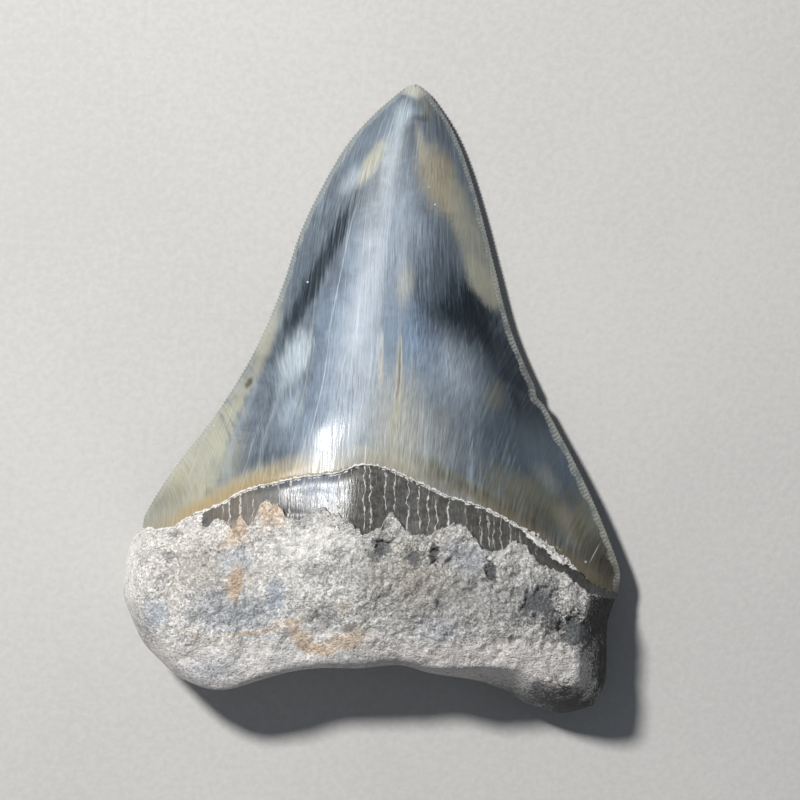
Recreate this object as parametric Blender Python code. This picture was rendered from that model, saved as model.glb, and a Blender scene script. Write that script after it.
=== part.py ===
"""A fossil megalodon tooth, lying on its flat labial face with the lingual face up.

+Z is up, +Y points to the tip of the crown and +X to the right, seen from above. The origin is
the middle of the bounding box on the ground. Dimensions below are in millimetres.

Each face of the tooth is a loft: rows of points run from the left rim to the right rim, from the
tip over the enamel edge, the bare bourlette and the mineral crust down to the base of the root.
The row parameter t is 0 at the tip, 1 at the enamel edge, 2 at the upper edge of the crust and
3 at the base. The parameter s runs across a row, from -1 on the left rim to 1 on the right rim.
"""
import math

import bmesh
import bpy
from mathutils import Vector, noise

NAME = "megalodon_tooth"
MM = 0.001

# Outline seen from above, tip first, then down each side to the end of the enamel.
LEFT_CROWN = [(1.6, 56.9), (0.3, 56.4), (-1.6, 54.8), (-5.5, 50.9), (-9.8, 45.4), (-13.8, 37.7),
              (-17.6, 28.2), (-20.5, 17.0), (-24.5, 5.6), (-30.4, -5.9), (-38.0, -17.5), (-42.4, -25.8),
              (-42.8, -28.5)]
RIGHT_CROWN = [(1.6, 56.9), (2.8, 56.4), (4.5, 54.9), (8.6, 49.5), (11.8, 43.2), (15.2, 34.2), (18.7, 23.4),
               (22.0, 13.5), (26.3, 4.6), (31.1, -3.4), (35.5, -10.5), (39.5, -17.6), (43.0, -24.7),
               (45.4, -30.6), (45.3, -34.2)]
# Sides of the root, from the end of the enamel to the corner of the base.
LEFT_ROOT = [(-42.8, -28.5), (-44.2, -29.9), (-45.1, -32.7), (-45.6, -37.0), (-45.2, -41.1),
             (-43.3, -45.2), (-41.0, -49.1), (-37.0, -52.6)]
RIGHT_ROOT = [(45.3, -34.2), (44.5, -36.6), (43.8, -39.2), (43.7, -42.0), (44.0, -47.0),
              (43.9, -51.0), (42.0, -55.2)]
BASE = [(-37.0, -52.6), (-33.6, -54.9), (-28.2, -56.5), (-24.4, -56.2), (-19.8, -54.5), (-13.9, -52.4),
        (-8.4, -51.3), (-1.0, -50.8), (6.2, -49.8), (11.8, -51.0), (20.2, -51.9), (24.9, -53.2),
        (29.4, -55.4), (36.3, -56.9), (42.0, -55.2)]
NOTCH_AT = (28.5, 1.0)          # chip in the right cutting edge
NOTCH_DEPTH = 0.6
NOTCH_HALF_LENGTH = 2.0

# Borders on the lingual face: the enamel's lower edge, and the ragged upper edge of the crust.
ENAMEL_EDGE = [(-42.8, -28.5), (-37.8, -28.0), (-33.8, -25.4), (-28.6, -22.8), (-24.2, -20.0),
               (-19.0, -18.3), (-13.7, -16.8), (-8.0, -15.7), (-2.9, -13.8), (2.4, -14.5),
               (8.2, -16.7), (13.4, -18.6), (18.4, -19.8), (22.8, -21.5), (28.7, -24.7),
               (32.8, -27.5), (37.2, -30.2), (41.0, -33.0), (45.3, -34.2)]
CRUST_EDGE = [(-43.7, -29.4), (-37.8, -29.2), (-33.0, -26.6), (-30.7, -26.9), (-28.0, -25.3),
              (-25.6, -26.9), (-24.9, -24.4), (-22.4, -25.9), (-21.0, -22.1), (-18.4, -21.8),
              (-15.9, -24.1), (-13.0, -24.2), (-10.8, -22.2), (-6.9, -23.0), (-4.0, -24.6),
              (-1.6, -26.3), (0.9, -24.4), (3.1, -22.1), (5.5, -24.9), (9.3, -25.7), (13.8, -23.4),
              (16.7, -23.9), (19.9, -27.6), (22.8, -27.4), (26.2, -25.7), (30.0, -29.3),
              (34.5, -30.9), (39.8, -34.2), (44.9, -35.4)]
LABIAL_ARCH = 5.0               # rise of the enamel edge on the labial face
LABIAL_CRUST_GAP = 1.4

# Heights above the ground along the tooth, as (t, height).
RIM_HEIGHT = [(0.0, 1.7), (0.5, 3.2), (1.0, 6.2), (2.0, 6.9), (2.5, 8.3), (3.0, 7.5)]
LINGUAL_RISE = [(0.0, 0.0), (0.05, 1.5), (0.12, 2.9), (0.25, 4.8), (0.5, 8.2), (0.75, 11.0),
                (1.0, 12.9), (1.5, 13.2), (2.0, 13.8), (2.3, 14.5), (2.6, 13.9), (2.85, 12.6), (3.0, 11.6)]
LABIAL_DROP = [(0.0, 0.0), (0.05, 0.9), (0.12, 1.6), (0.3, 2.45), (0.45, 3.15), (0.6, 3.72), (0.85, 4.9),
               (1.0, 5.9), (1.5, 6.7), (2.0, 7.8), (2.5, 9.1), (3.0, 8.1)]
# The base's lower edge is undercut on the left, where its rim lies this much higher, as (x, height).
BASE_LIFT = [(-45.6, 1.0), (-38.0, 5.0), (-29.0, 8.5), (-8.0, 9.0), (5.0, 8.0), (16.0, 3.5), (26.0, 0.5),
             (45.6, 0.0)]
LIFT_FROM = 2.2                 # t at which the lift sets in

# Cross sections, as exponents of the half width and of the height under it.
LINGUAL_SECTION = (2.1, 1.2)
LABIAL_SECTION = (2.4, 1.0)
RIDGE = [(0.0, 0.38), (0.1, 0.36), (0.3, 0.24), (0.5, 0.04), (0.7, 0.0), (3.0, 0.0)]  # s of the crest, by t
ROUND_BORDER = (2.2, 0.55)
BEVEL_BORDER = (1.25, 0.9)
# The root's lingual border is rounded on the left and bevelled on the right, changing over this stretch of X.
BEVEL_FROM, BEVEL_FULL = 6.0, 22.0

# Width of the root's border along X, as (x, width).
LINGUAL_BORDER = [(-45.6, 7.0), (-38.0, 4.0), (-30.0, 2.0), (12.0, 2.0), (18.0, 2.6), (23.0, 3.9),
                  (29.0, 5.4), (45.6, 5.3)]
LABIAL_BORDER = [(-45.6, 6.0), (-37.0, 7.0), (-25.0, 8.5), (5.0, 8.5), (20.0, 6.5), (45.6, 6.0)]
ROOT_BLEND = 7.0                # half width of the change from the crown's section to the root's
LOBE_FALL = 0.3                 # the root is this much thinner at its lobes than in the middle
LABIAL_HOLLOW = 1.9             # shallow hollow between the root lobes, over the ground
LABIAL_HOLLOW_SPAN = 0.3        # its half width, as s
LABIAL_SWELL = 0.6              # fullness of the labial root, in lump heights
ENAMEL_STEP = 0.45              # the enamel stands this far over the bourlette
BAND_SWELL_AT = (-4.0, -22.0)   # the bourlette swells left of the middle
BAND_SWELL_SIZE = (6.0, 6.5)
BAND_SWELL_HEIGHT = 1.5
CRUST_THICKNESS = 1.0
LUMP_HEIGHT = 0.6
LUMP_SIZE = 5.5

# Pits in the crust, as (x, y, radius, depth).
PITS = [(1.2, -28.7, 1.6, 1.3), (7.5, -30.1, 1.5, 1.0), (21.2, -31.8, 1.4, 1.0), (18.6, -33.6, 1.4, 0.7),
        (30.5, -36.6, 3.2, 1.1), (37.3, -41.3, 3.2, 1.2), (13.5, -38.2, 1.8, 0.6), (-5.9, -30.5, 1.4, 0.5),
        (-7.7, -42.2, 3.0, 0.5), (-24.5, -42.5, 5.0, 0.4), (2.5, -37.4, 1.8, 0.5), (24.0, -44.0, 1.6, 0.6)]

SERRATION_PITCH = 0.69
SERRATION_DEPTH = 0.22
SERRATION_FADE = 2.5            # the denticles shrink over this last stretch of the edge, at both ends
RAIL_INSET = 1.4                # the sharp edge's inner border, from the rim
CROWN_ROWS = 52
ROOT_ROWS = 13
CROWN_CELL = 3.0                # spacing of the points across a row
ROOT_CELL = 1.9
LABIAL_CELL = 3.6
ROOT_RIM_STEP = 1.2
CROWN_CROWDING = 1.15           # over 1, the crown's rows crowd toward the tip
BASE_CROWDING = 1.35            # over 1, the root's rows crowd toward the base
BARE_ROWS = [1.12, 1.4, 1.7, 1.95]
CRUST_LEDGE = [2.0, 2.03]       # the rows at the foot and the top of the crust's upper edge
END_CROWDING = 0.8              # how far the points of a root row crowd toward its two ends
TOOTH_COLOUR = (0.23, 0.25, 0.27, 1.0)


def curve(x, points):
    """Height of a smooth curve through points sorted by x."""
    last = len(points) - 1
    i = 0
    while i < last - 1 and x > points[i + 1][0]:
        i += 1
    (x0, y0), (x1, y1) = points[i], points[i + 1]

    def slope(k):
        before, after = points[max(k - 1, 0)], points[min(k + 1, last)]
        return (after[1] - before[1]) / (after[0] - before[0])

    step = x1 - x0
    f = min(max((x - x0) / step, 0.0), 1.0)
    return ((1 + 2 * f) * (1 - f) ** 2 * y0 + f * (1 - f) ** 2 * step * slope(i)
            + f * f * (3 - 2 * f) * y1 + f * f * (f - 1) * step * slope(i + 1))


def smooth_path(points, count):
    """count + 1 evenly spaced points on a smooth path through the given points."""
    chord = [0.0]
    for a, b in zip(points, points[1:]):
        chord.append(chord[-1] + math.dist(a, b))
    xs = [(c, p[0]) for c, p in zip(chord, points)]
    ys = [(c, p[1]) for c, p in zip(chord, points)]
    fine = 40 * len(points)
    dense = [Vector((curve(chord[-1] * k / fine, xs), curve(chord[-1] * k / fine, ys)))
             for k in range(fine + 1)]
    length = [0.0]
    for a, b in zip(dense, dense[1:]):
        length.append(length[-1] + (b - a).length)
    path, k = [], 0
    for n in range(count + 1):
        want = length[-1] * n / count
        while k < fine - 1 and length[k + 1] < want:
            k += 1
        f = (want - length[k]) / (length[k + 1] - length[k])
        path.append(dense[k].lerp(dense[k + 1], f))
    return path


def path_length(points):
    return sum(math.dist(a, b) for a, b in zip(points, points[1:]))


def serrated(points, side):
    """The cutting edge with its denticles; side is -1 for the left edge and 1 for the right one."""
    pairs = round(path_length(points) / SERRATION_PITCH)
    path = smooth_path(points, 2 * pairs)
    edge = [path[0]]
    for k in range(1, 2 * pairs):
        along = (path[k + 1] - path[k - 1]).normalized()
        outward = Vector((-along.y, along.x)) * side
        left_over = min(k, 2 * pairs - k) * SERRATION_PITCH / 2
        shift = SERRATION_DEPTH / 2 * (1 if k % 2 else -1) * min(1.0, left_over / SERRATION_FADE)
        near = math.dist(path[k], NOTCH_AT) / NOTCH_HALF_LENGTH
        if near < 1.0:
            shift -= NOTCH_DEPTH * (1 - near)
        edge.append(path[k] + outward * shift)
    edge.append(path[-1])
    return edge


def side_rim(crown, root, side):
    """Rim points from tip to base corner, with the row parameter t of each."""
    edge = serrated(crown, side)
    flank = smooth_path(root, round(path_length(root) / ROOT_RIM_STEP))[1:]
    marks = [k / (len(edge) - 1) for k in range(len(edge))]
    # the first step down the flank is the end of the bare band between enamel and crust
    marks += [2 + k / (len(flank) - 1) for k in range(len(flank))]
    return edge + flank, marks


def bow(t, s, left, right, labial):
    """How far a row lies from the straight line between its two ends, along Y."""
    x = left.x + (right.x - left.x) * (s + 1) / 2
    line = left.y + (right.y - left.y) * (s + 1) / 2

    def span(edge):
        a, b = edge[0], edge[-1]
        at = a[0] + (b[0] - a[0]) * (s + 1) / 2
        return curve(at, edge) - (a[1] + (b[1] - a[1]) * (s + 1) / 2)

    if labial:
        enamel = LABIAL_ARCH * (1 - s * s)
        crust = enamel
        if t > 1.0:
            crust -= LABIAL_CRUST_GAP * (1 - s * s)
    else:
        enamel = span(ENAMEL_EDGE)
        crust = span(CRUST_EDGE)
    base = span(BASE)
    if t <= 1.0:
        y = line + enamel * t ** 1.5
    elif t <= 2.0:
        y = line + enamel + (crust - enamel) * (t - 1)
    else:
        y = line + crust + (base - crust) * (t - 2)
    return x, y


def ease(value, start, end):
    f = min(max((value - start) / (end - start), 0.0), 1.0)
    return f * f * (3 - 2 * f)


def lens(s, section, crest=0.0):
    """Height of a crown section at s, from 0 on the rims to 1 on its crest."""
    off_crest = (s - crest) / (1 - crest if s > crest else 1 + crest)
    outer, inner = section
    return max(0.0, 1 - abs(off_crest) ** outer) ** inner


def border(x, y, outline, widths, bevel):
    """Height of the root at (x, y), from 0 on its outline to 1 past its border."""
    here = Vector((x, y))
    reach = min((here - point).length for point in outline) / curve(x, widths)
    outer, inner = (a + (b - a) * bevel for a, b in zip(ROUND_BORDER, BEVEL_BORDER))
    return (1 - (1 - min(reach, 1.0)) ** outer) ** inner


def base_lift(x, t):
    return curve(x, BASE_LIFT) * ease(t, LIFT_FROM, 3.0)


def lumps(x, y, side):
    """Low relief of the root, from -1 to 1."""
    here = Vector((x / LUMP_SIZE, y / LUMP_SIZE, 7.0 * side))
    return noise.noise(here) + 0.5 * noise.noise(here * 2.3)


def pit_depth(x, y):
    return max([0.0] + [depth * (1 - (math.dist((x, y), (px, py)) / radius) ** 2)
                        for px, py, radius, depth in PITS])


def band_swell(x, y):
    (cx, cy), (wide, long) = BAND_SWELL_AT, BAND_SWELL_SIZE
    return BAND_SWELL_HEIGHT * math.exp(-((x - cx) / wide) ** 2 - ((y - cy) / long) ** 2)


def root_share(x, y, labial):
    """0 where the section is a crown's, 1 where it is a root's."""
    (start, high), (end, low) = ENAMEL_EDGE[0], ENAMEL_EDGE[-1]
    enamel = curve(x, ENAMEL_EDGE)
    if labial:
        across = (x - start) / (end - start)
        enamel = high + (low - high) * across + LABIAL_ARCH * (1 - (2 * across - 1) ** 2)
    return ease(enamel - y, -ROOT_BLEND, ROOT_BLEND)


def lingual_height(t, s, x, y, outline):
    root = root_share(x, y, False)
    edge = border(x, y, outline, LINGUAL_BORDER, ease(x, BEVEL_FROM, BEVEL_FULL))
    crown = lens(s, LINGUAL_SECTION, curve(t, RIDGE))
    shape = crown * (1 - root) + edge * (1 - LOBE_FALL * s * s) * root
    z = curve(t, RIM_HEIGHT) + curve(t, LINGUAL_RISE) * shape + base_lift(x, t) * (1 - edge)
    z += band_swell(x, y) - ENAMEL_STEP * ease(t, 1.0, BARE_ROWS[0]) * edge
    crust = CRUST_THICKNESS + LUMP_HEIGHT * lumps(x, y, 1) - pit_depth(x, y)
    return z + crust * ease(t, *CRUST_LEDGE) * edge


def labial_height(t, s, x, y, outline):
    root = root_share(x, y, True)
    edge = border(x, y, outline, LABIAL_BORDER, 0.0)
    shape = lens(s, LABIAL_SECTION) * (1 - root) + edge * root
    z = curve(t, RIM_HEIGHT) - curve(t, LABIAL_DROP) * shape + base_lift(x, t) * (1 - edge)
    z += ENAMEL_STEP * ease(t, 1.0, BARE_ROWS[0]) * edge
    z += LABIAL_HOLLOW * root * math.exp(-(s / LABIAL_HOLLOW_SPAN) ** 2) * edge
    z -= root * edge * LUMP_HEIGHT * (LABIAL_SWELL + lumps(x, y, -1))
    # the face is worn flat where it touches the ground
    return max(z, 0.0)


def stitch(bm, first, second, flip):
    """Triangles between two rows of points that may differ in number."""
    i = j = 0
    while i < len(first) - 1 or j < len(second) - 1:
        if j == len(second) - 1:
            forward = True
        elif i == len(first) - 1:
            forward = False
        else:
            forward = ((first[i + 1].co - second[j].co).length
                       <= (first[i].co - second[j + 1].co).length)
        if forward:
            corners = [first[i], second[j], first[i + 1]]
            i += 1
        else:
            corners = [first[i], second[j], second[j + 1]]
            j += 1
        bm.faces.new(reversed(corners) if flip else corners)


def row_levels():
    """The t of every row: even over the crown, tight at the two ledges and round the base."""
    crown = [(k / CROWN_ROWS) ** CROWN_CROWDING for k in range(1, CROWN_ROWS + 1)]
    root = [3 - (1 - k / ROOT_ROWS) ** BASE_CROWDING for k in range(1, ROOT_ROWS)]
    return crown + BARE_ROWS + CRUST_LEDGE + root


def nearest(marks, t):
    return min(range(len(marks)), key=lambda k: abs(marks[k] - t))


def loft_face(bm, rims, marks, base_row, labial):
    """One face of the tooth, between the left rim, the right rim and the base."""
    height = labial_height if labial else lingual_height
    outline = [vert.co.xy / MM for vert in rims[0] + rims[1] + base_row]
    previous, before = [rims[0][0]], (0, 0)
    for t in row_levels():
        # a row ends on the rim, at a groove between two denticles
        ends = [nearest(side, t) for side in marks]
        ends = [k - k % 2 if t < 1.0 else k for k in ends]
        ends = [max(k, was) for k, was in zip(ends, before)]
        left, right = (rim[k].co.xy / MM for rim, k in zip(rims, ends))
        width = right.x - left.x
        cell = CROWN_CELL + (ROOT_CELL - CROWN_CELL) * ease(t, 0.85, 1.0)
        if labial:
            cell = LABIAL_CELL
        count = max(3, round(width / cell))
        crowding = END_CROWDING * ease(t, 0.95, 1.6)
        inset = min(RAIL_INSET / width, 0.2)
        row = []
        for k in range(count + 1):
            f = k / count
            f += (0.5 - 0.5 * math.cos(math.pi * f) - f) * crowding
            s = -1 + 2 * (inset + (1 - 2 * inset) * f)
            x, y = bow(t, s, left, right, labial)
            row.append(bm.verts.new(Vector((x, y, height(t, s, x, y, outline))) * MM))
        for side, rail in ((0, row[0]), (1, row[-1])):
            strip = rims[side][before[side]:ends[side] + 1]
            inner = [rail] if len(previous) == 1 else [previous[-side], rail]
            stitch(bm, strip, inner, labial != bool(side))
        stitch(bm, previous, row, labial)
        previous, before = row, ends
    for side in (0, 1):
        stitch(bm, rims[side][before[side]:], [previous[-side]], labial != bool(side))
    stitch(bm, previous, base_row, labial)


def make_tooth():
    bm = bmesh.new()
    rims, marks = [], []
    for crown, root, side in ((LEFT_CROWN, LEFT_ROOT, -1), (RIGHT_CROWN, RIGHT_ROOT, 1)):
        points, levels = side_rim(crown, root, side)
        verts = [bm.verts.new(Vector((*point, curve(t, RIM_HEIGHT) + base_lift(point.x, t))) * MM)
                 for point, t in zip(points, levels)]
        rims.append(verts)
        marks.append(levels)
    # both rims start at the tip
    bm.verts.remove(rims[1][0])
    rims[1][0] = rims[0][0]
    (start, _), (end, _) = BASE[0], BASE[-1]
    count = round((end - start) / ROOT_CELL)
    middle = []
    for k in range(1, count):
        x = start + (end - start) * k / count
        z = RIM_HEIGHT[-1][1] + base_lift(x, 3.0)
        middle.append(bm.verts.new(Vector((x, curve(x, BASE), z)) * MM))
    base_row = [rims[0][-1], *middle, rims[1][-1]]
    for labial in (False, True):
        loft_face(bm, rims, marks, base_row, labial)
    bmesh.ops.recalc_face_normals(bm, faces=bm.faces)
    mesh = bpy.data.meshes.new(NAME)
    bm.to_mesh(mesh)
    bm.free()
    return mesh


def fossil_material():
    material = bpy.data.materials.new("fossil_tooth")
    material.use_nodes = True
    shader = material.node_tree.nodes["Principled BSDF"]
    shader.inputs["Base Color"].default_value = TOOTH_COLOUR
    shader.inputs["Roughness"].default_value = 0.35
    shader.inputs["Metallic"].default_value = 0.0
    return material


def main():
    for leftover in list(bpy.data.objects):
        bpy.data.objects.remove(leftover, do_unlink=True)
    group = bpy.data.collections.new(NAME)
    bpy.context.scene.collection.children.link(group)
    mesh = make_tooth()
    # the middle of the box goes to the origin
    xs = [v.co.x for v in mesh.vertices]
    ys = [v.co.y for v in mesh.vertices]
    middle = Vector(((min(xs) + max(xs)) / 2, (min(ys) + max(ys)) / 2, 0.0))
    for vertex in mesh.vertices:
        vertex.co -= middle
    mesh.materials.append(fossil_material())
    mesh.shade_smooth()
    tooth = bpy.data.objects.new(NAME, mesh)
    group.objects.link(tooth)


main()
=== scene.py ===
import math

import bpy
import numpy as np
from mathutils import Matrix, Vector, kdtree, noise
from mathutils.geometry import delaunay_2d_cdt


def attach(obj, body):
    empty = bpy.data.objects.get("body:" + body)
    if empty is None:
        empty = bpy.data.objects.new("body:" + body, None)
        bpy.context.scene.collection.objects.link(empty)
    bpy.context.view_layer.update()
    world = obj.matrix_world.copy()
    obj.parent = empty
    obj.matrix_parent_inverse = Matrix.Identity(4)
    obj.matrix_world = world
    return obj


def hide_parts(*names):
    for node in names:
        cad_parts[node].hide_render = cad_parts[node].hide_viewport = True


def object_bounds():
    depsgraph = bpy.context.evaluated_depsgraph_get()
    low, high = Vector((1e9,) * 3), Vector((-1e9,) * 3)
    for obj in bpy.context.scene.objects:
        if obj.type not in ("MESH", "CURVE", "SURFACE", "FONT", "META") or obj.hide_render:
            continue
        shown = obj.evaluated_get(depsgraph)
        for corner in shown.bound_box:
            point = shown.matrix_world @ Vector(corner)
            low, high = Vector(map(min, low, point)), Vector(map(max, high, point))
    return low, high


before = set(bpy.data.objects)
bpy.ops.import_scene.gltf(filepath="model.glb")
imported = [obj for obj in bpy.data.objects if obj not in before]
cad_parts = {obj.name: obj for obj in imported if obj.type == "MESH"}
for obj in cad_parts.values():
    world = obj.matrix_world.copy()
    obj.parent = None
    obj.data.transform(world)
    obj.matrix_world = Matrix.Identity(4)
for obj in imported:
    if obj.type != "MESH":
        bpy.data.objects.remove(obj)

# A fossil megalodon tooth on a pale table, lingual face up, tip away from the viewer.
# All lengths in the dictionaries are millimetres; the scene itself is in metres.
mm = 0.001
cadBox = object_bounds()
print("frame loaded:", sorted(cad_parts))

# A row of the tooth runs from its left rim to its right rim. The row number is 0 at the tip, 1 at the
# enamel edge, 2 at the upper edge of the crust and 3 at the base; across a row, s goes from -1 to 1.
tooth = {
    "node": "megalodon_tooth",
    "leftCrown": [(1.6, 56.9), (0.3, 56.4), (-1.6, 54.8), (-5.5, 50.9), (-9.8, 45.4), (-13.8, 37.7),
                  (-17.6, 28.2), (-20.5, 17.0), (-24.5, 5.6), (-30.4, -5.9), (-38.0, -17.5),
                  (-42.4, -25.8), (-42.8, -28.5)],
    "rightCrown": [(1.6, 56.9), (2.8, 56.4), (4.5, 54.9), (8.6, 49.5), (11.8, 43.2), (15.2, 34.2),
                   (18.7, 23.4), (22.0, 13.5), (26.3, 4.6), (31.1, -3.4), (35.5, -10.5), (39.5, -17.6),
                   (43.0, -24.7), (45.4, -30.6), (45.3, -34.2)],
    "leftRoot": [(-42.8, -28.5), (-44.2, -29.9), (-45.1, -32.7), (-45.6, -37.0), (-45.2, -41.1),
                 (-43.3, -45.2), (-41.0, -49.1), (-37.0, -52.6)],
    "rightRoot": [(45.3, -34.2), (44.5, -36.6), (43.8, -39.2), (43.7, -42.0), (44.0, -47.0),
                  (43.9, -51.0), (42.0, -55.2)],
    "base": [(-37.0, -52.6), (-33.6, -54.9), (-28.2, -56.5), (-24.4, -56.2), (-19.8, -54.5),
             (-13.9, -52.4), (-8.4, -51.3), (-1.0, -50.8), (6.2, -49.8), (11.8, -51.0), (20.2, -51.9),
             (24.9, -53.2), (29.4, -55.4), (36.3, -56.9), (42.0, -55.2)],
    "enamelEdge": [(-42.8, -28.5), (-37.8, -28.0), (-33.8, -25.4), (-28.6, -22.8), (-24.2, -20.0),
                   (-19.0, -18.3), (-13.7, -16.8), (-8.0, -15.7), (-2.9, -13.8), (2.4, -14.5),
                   (8.2, -16.7), (13.4, -18.6), (18.4, -19.8), (22.8, -21.5), (28.7, -24.7),
                   (32.8, -27.5), (37.2, -30.2), (41.0, -33.0), (45.3, -34.2)],
    "crustEdge": [(-43.7, -29.4), (-37.8, -29.2), (-33.0, -26.6), (-30.7, -26.9), (-28.0, -25.3),
                  (-25.6, -26.9), (-24.9, -24.4), (-22.4, -25.9), (-21.0, -22.1), (-18.4, -21.8),
                  (-15.9, -24.1), (-13.0, -24.2), (-10.8, -22.2), (-6.9, -23.0), (-4.0, -24.6),
                  (-1.6, -26.3), (0.9, -24.4), (3.1, -22.1), (5.5, -24.9), (9.3, -25.7), (13.8, -23.4),
                  (16.7, -23.9), (19.9, -27.6), (22.8, -27.4), (26.2, -25.7), (30.0, -29.3),
                  (34.5, -30.9), (39.8, -34.2), (44.9, -35.4)],
    # mean line of the bare band's foot, which the heights follow
    "bandFoot": [(-43.7, -29.4), (-36.0, -28.6), (-28.0, -25.8), (-20.0, -24.0), (-12.0, -23.6),
                 (-2.0, -24.0), (8.0, -24.6), (18.0, -25.9), (26.0, -27.2), (34.0, -30.8), (40.0, -33.8),
                 (44.9, -35.4)],
    # heights over the ground, by row number
    "rimHeight": [(0.0, 1.7), (0.5, 3.2), (1.0, 6.2), (2.0, 6.9), (2.5, 8.3), (3.0, 7.5)],
    "lingualRise": [(0.0, 0.0), (0.05, 1.5), (0.12, 2.9), (0.25, 4.8), (0.5, 8.2), (0.75, 11.0),
                    (1.0, 12.9), (1.5, 13.2), (2.0, 13.8), (2.3, 14.5), (2.6, 13.9), (2.85, 12.6),
                    (3.0, 11.6)],
    "labialDrop": [(0.0, 0.0), (0.05, 0.9), (0.12, 1.6), (0.3, 2.45), (0.45, 3.15), (0.6, 3.72),
                   (0.85, 4.9), (1.0, 5.9), (1.5, 6.7), (2.0, 7.8), (2.5, 9.1), (3.0, 8.1)],
    # the base is undercut on the left: its rim is this much higher, by x
    "baseLift": [(-45.6, 1.0), (-38.0, 5.0), (-29.0, 8.5), (-8.0, 9.0), (5.0, 8.0), (16.0, 3.5),
                 (26.0, 0.5), (45.6, 0.0)],
    "liftFrom": 2.2,
    # cross sections, as exponents of the half width and of the height under it
    "lingualSection": (2.1, 1.2),
    "labialSection": (2.4, 1.0),
    "ridge": [(0.0, 0.38), (0.1, 0.36), (0.3, 0.24), (0.5, 0.04), (0.7, 0.0), (3.0, 0.0)],
    "roundBorder": (2.2, 0.55),
    "bevelBorder": (1.25, 0.9),
    "bevel": (6.0, 22.0),
    # width of the root's border, by x
    "lingualBorder": [(-45.6, 7.0), (-38.0, 4.0), (-30.0, 2.0), (12.0, 2.0), (18.0, 2.6), (23.0, 3.9),
                      (29.0, 5.4), (45.6, 5.3)],
    "labialBorder": [(-45.6, 6.0), (-37.0, 7.0), (-25.0, 8.5), (5.0, 8.5), (20.0, 6.5), (45.6, 6.0)],
    "labialArch": 5.0,
    # depth and half width, across a row, of the hollow in the middle of the root
    "labialHollow": (1.9, 0.3),
    "rootBlend": 7.0,
    "lobeFall": 0.3,
    # the bare band: where it starts on the left, how far it goes down the outline, its bow and height on
    # the labial side, and its least height
    "bandFrom": -31.6,
    "bareFlank": 1.2,
    "labialBandBow": 1.4,
    "labialBand": 0.9,
    "leastBand": 0.5,
    # the bare band swells left of the middle: centre, half sizes, height
    "bandSwell": (-4.0, -22.0, 6.0, 6.5, 1.5),
    "enamelStep": 0.45,
    "crustThickness": 1.0,
    "crustLip": 0.5,
    "lipReach": 1.6,
    "leastCrust": 0.15,
    "lumpHeight": 0.6,
    "labialLumps": 0.6,
    "labialRelief": 0.5,
    # hollows in the crust: centre, radius, depth
    "pits": [(1.5, -28.5, 1.5, 1.7), (0.2, -30.2, 1.4, 1.2), (7.5, -30.1, 1.5, 1.1),
             (10.9, -28.7, 0.9, 1.4), (21.3, -31.7, 1.1, 1.4), (18.6, -33.6, 1.3, 0.8),
             (30.5, -36.6, 3.2, 1.2), (37.3, -41.3, 3.2, 1.3), (26.5, -35.2, 1.2, 0.8),
             (13.5, -38.2, 1.8, 0.7), (-5.9, -30.5, 1.4, 0.6), (-36.5, -28.6, 1.0, 0.4),
             (-36.9, -33.0, 1.0, 0.5), (-7.7, -42.2, 3.0, 0.5), (-24.5, -42.5, 5.0, 0.4),
             (2.5, -37.4, 1.8, 0.5), (24.0, -44.0, 1.6, 0.6), (-14.6, -33.5, 1.2, 0.4)],
    "pitEdge": (1.2, 0.3),
    # the crust has crumbled away on the right: how deep, where by x and by y, and its share elsewhere
    "crumbleDepth": 0.7,
    "crumbleX": (-8, 12),
    "crumbleY": (-50, -42),
    "crumbleElsewhere": 0.25,
    # the fine relief is full on the right and along the upper edge, and lower elsewhere
    "roughX": (-22, 6),
    "roughY": (-52, -40),
    "roughEdge": (-36, -28),
    "roughElsewhere": 0.35,
    # size, height and layer of the crumbs
    "crumbs": (1.25, 0.25, 43.0),
    "serrationPitch": 0.69,
    "serrationDepth": 0.22,
    "serrationFade": 2.5,
    "serrationShape": 0.8,
    "notchAt": (28.5, 1.0),
    "notchDepth": 0.6,
    "notchHalfLength": 2.0,
}

# how finely the mesh is cut, in mm: cell sizes by zone, then the rows of points along its borders
mesh = {
    "pointsPerDenticle": 6,
    "crust": 0.3,
    "bourlette": 0.42,
    "enamelFoot": 0.5,
    "crown": 0.9,
    "labialRoot": 0.6,
    "labialCrown": 0.95,
    "borderStep": 0.24,
    "ledgeWidth": 0.22,
    # each cell's corners are shaken by up to this share of it, drawn from this seed
    "shake": 0.12,
    "seed": 12,
    # the cells keep this many ledge widths under and over the ledge, and this far from the ridge above
    # and below it, in mm
    "ledgeClear": (2.2, 0.8),
    "ridgeClear": (0.25, 0.2),
    # the borders' points run from -x to x
    "borderSpan": 47.0,
    # levels of the root's border that have a ring of points, and the furthest in that a ring goes
    "borderRings": (0.15, 0.3, 0.45, 0.6, 0.72),
    "deepestRing": 1.6,
    # rows of points in from the cutting edge: how far in, and one for how many points of the edge
    "rimRows": ((0.3, 2), (0.62, 3)),
    # the enamel's cells keep this far from the edge
    "rimClear": 0.85,
    # times that the search for a point's row halves its range
    "halvings": 22,
    # the rows between which the inner points lie
    "rows": (0.004, 2.998),
    # room that the rows of points leave to the rim and to the borders
    "lineClear": 0.3,
    "borderClear": 0.4,
    # the enamel's fine foot goes this far up
    "footHeight": 3.0,
}


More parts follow.
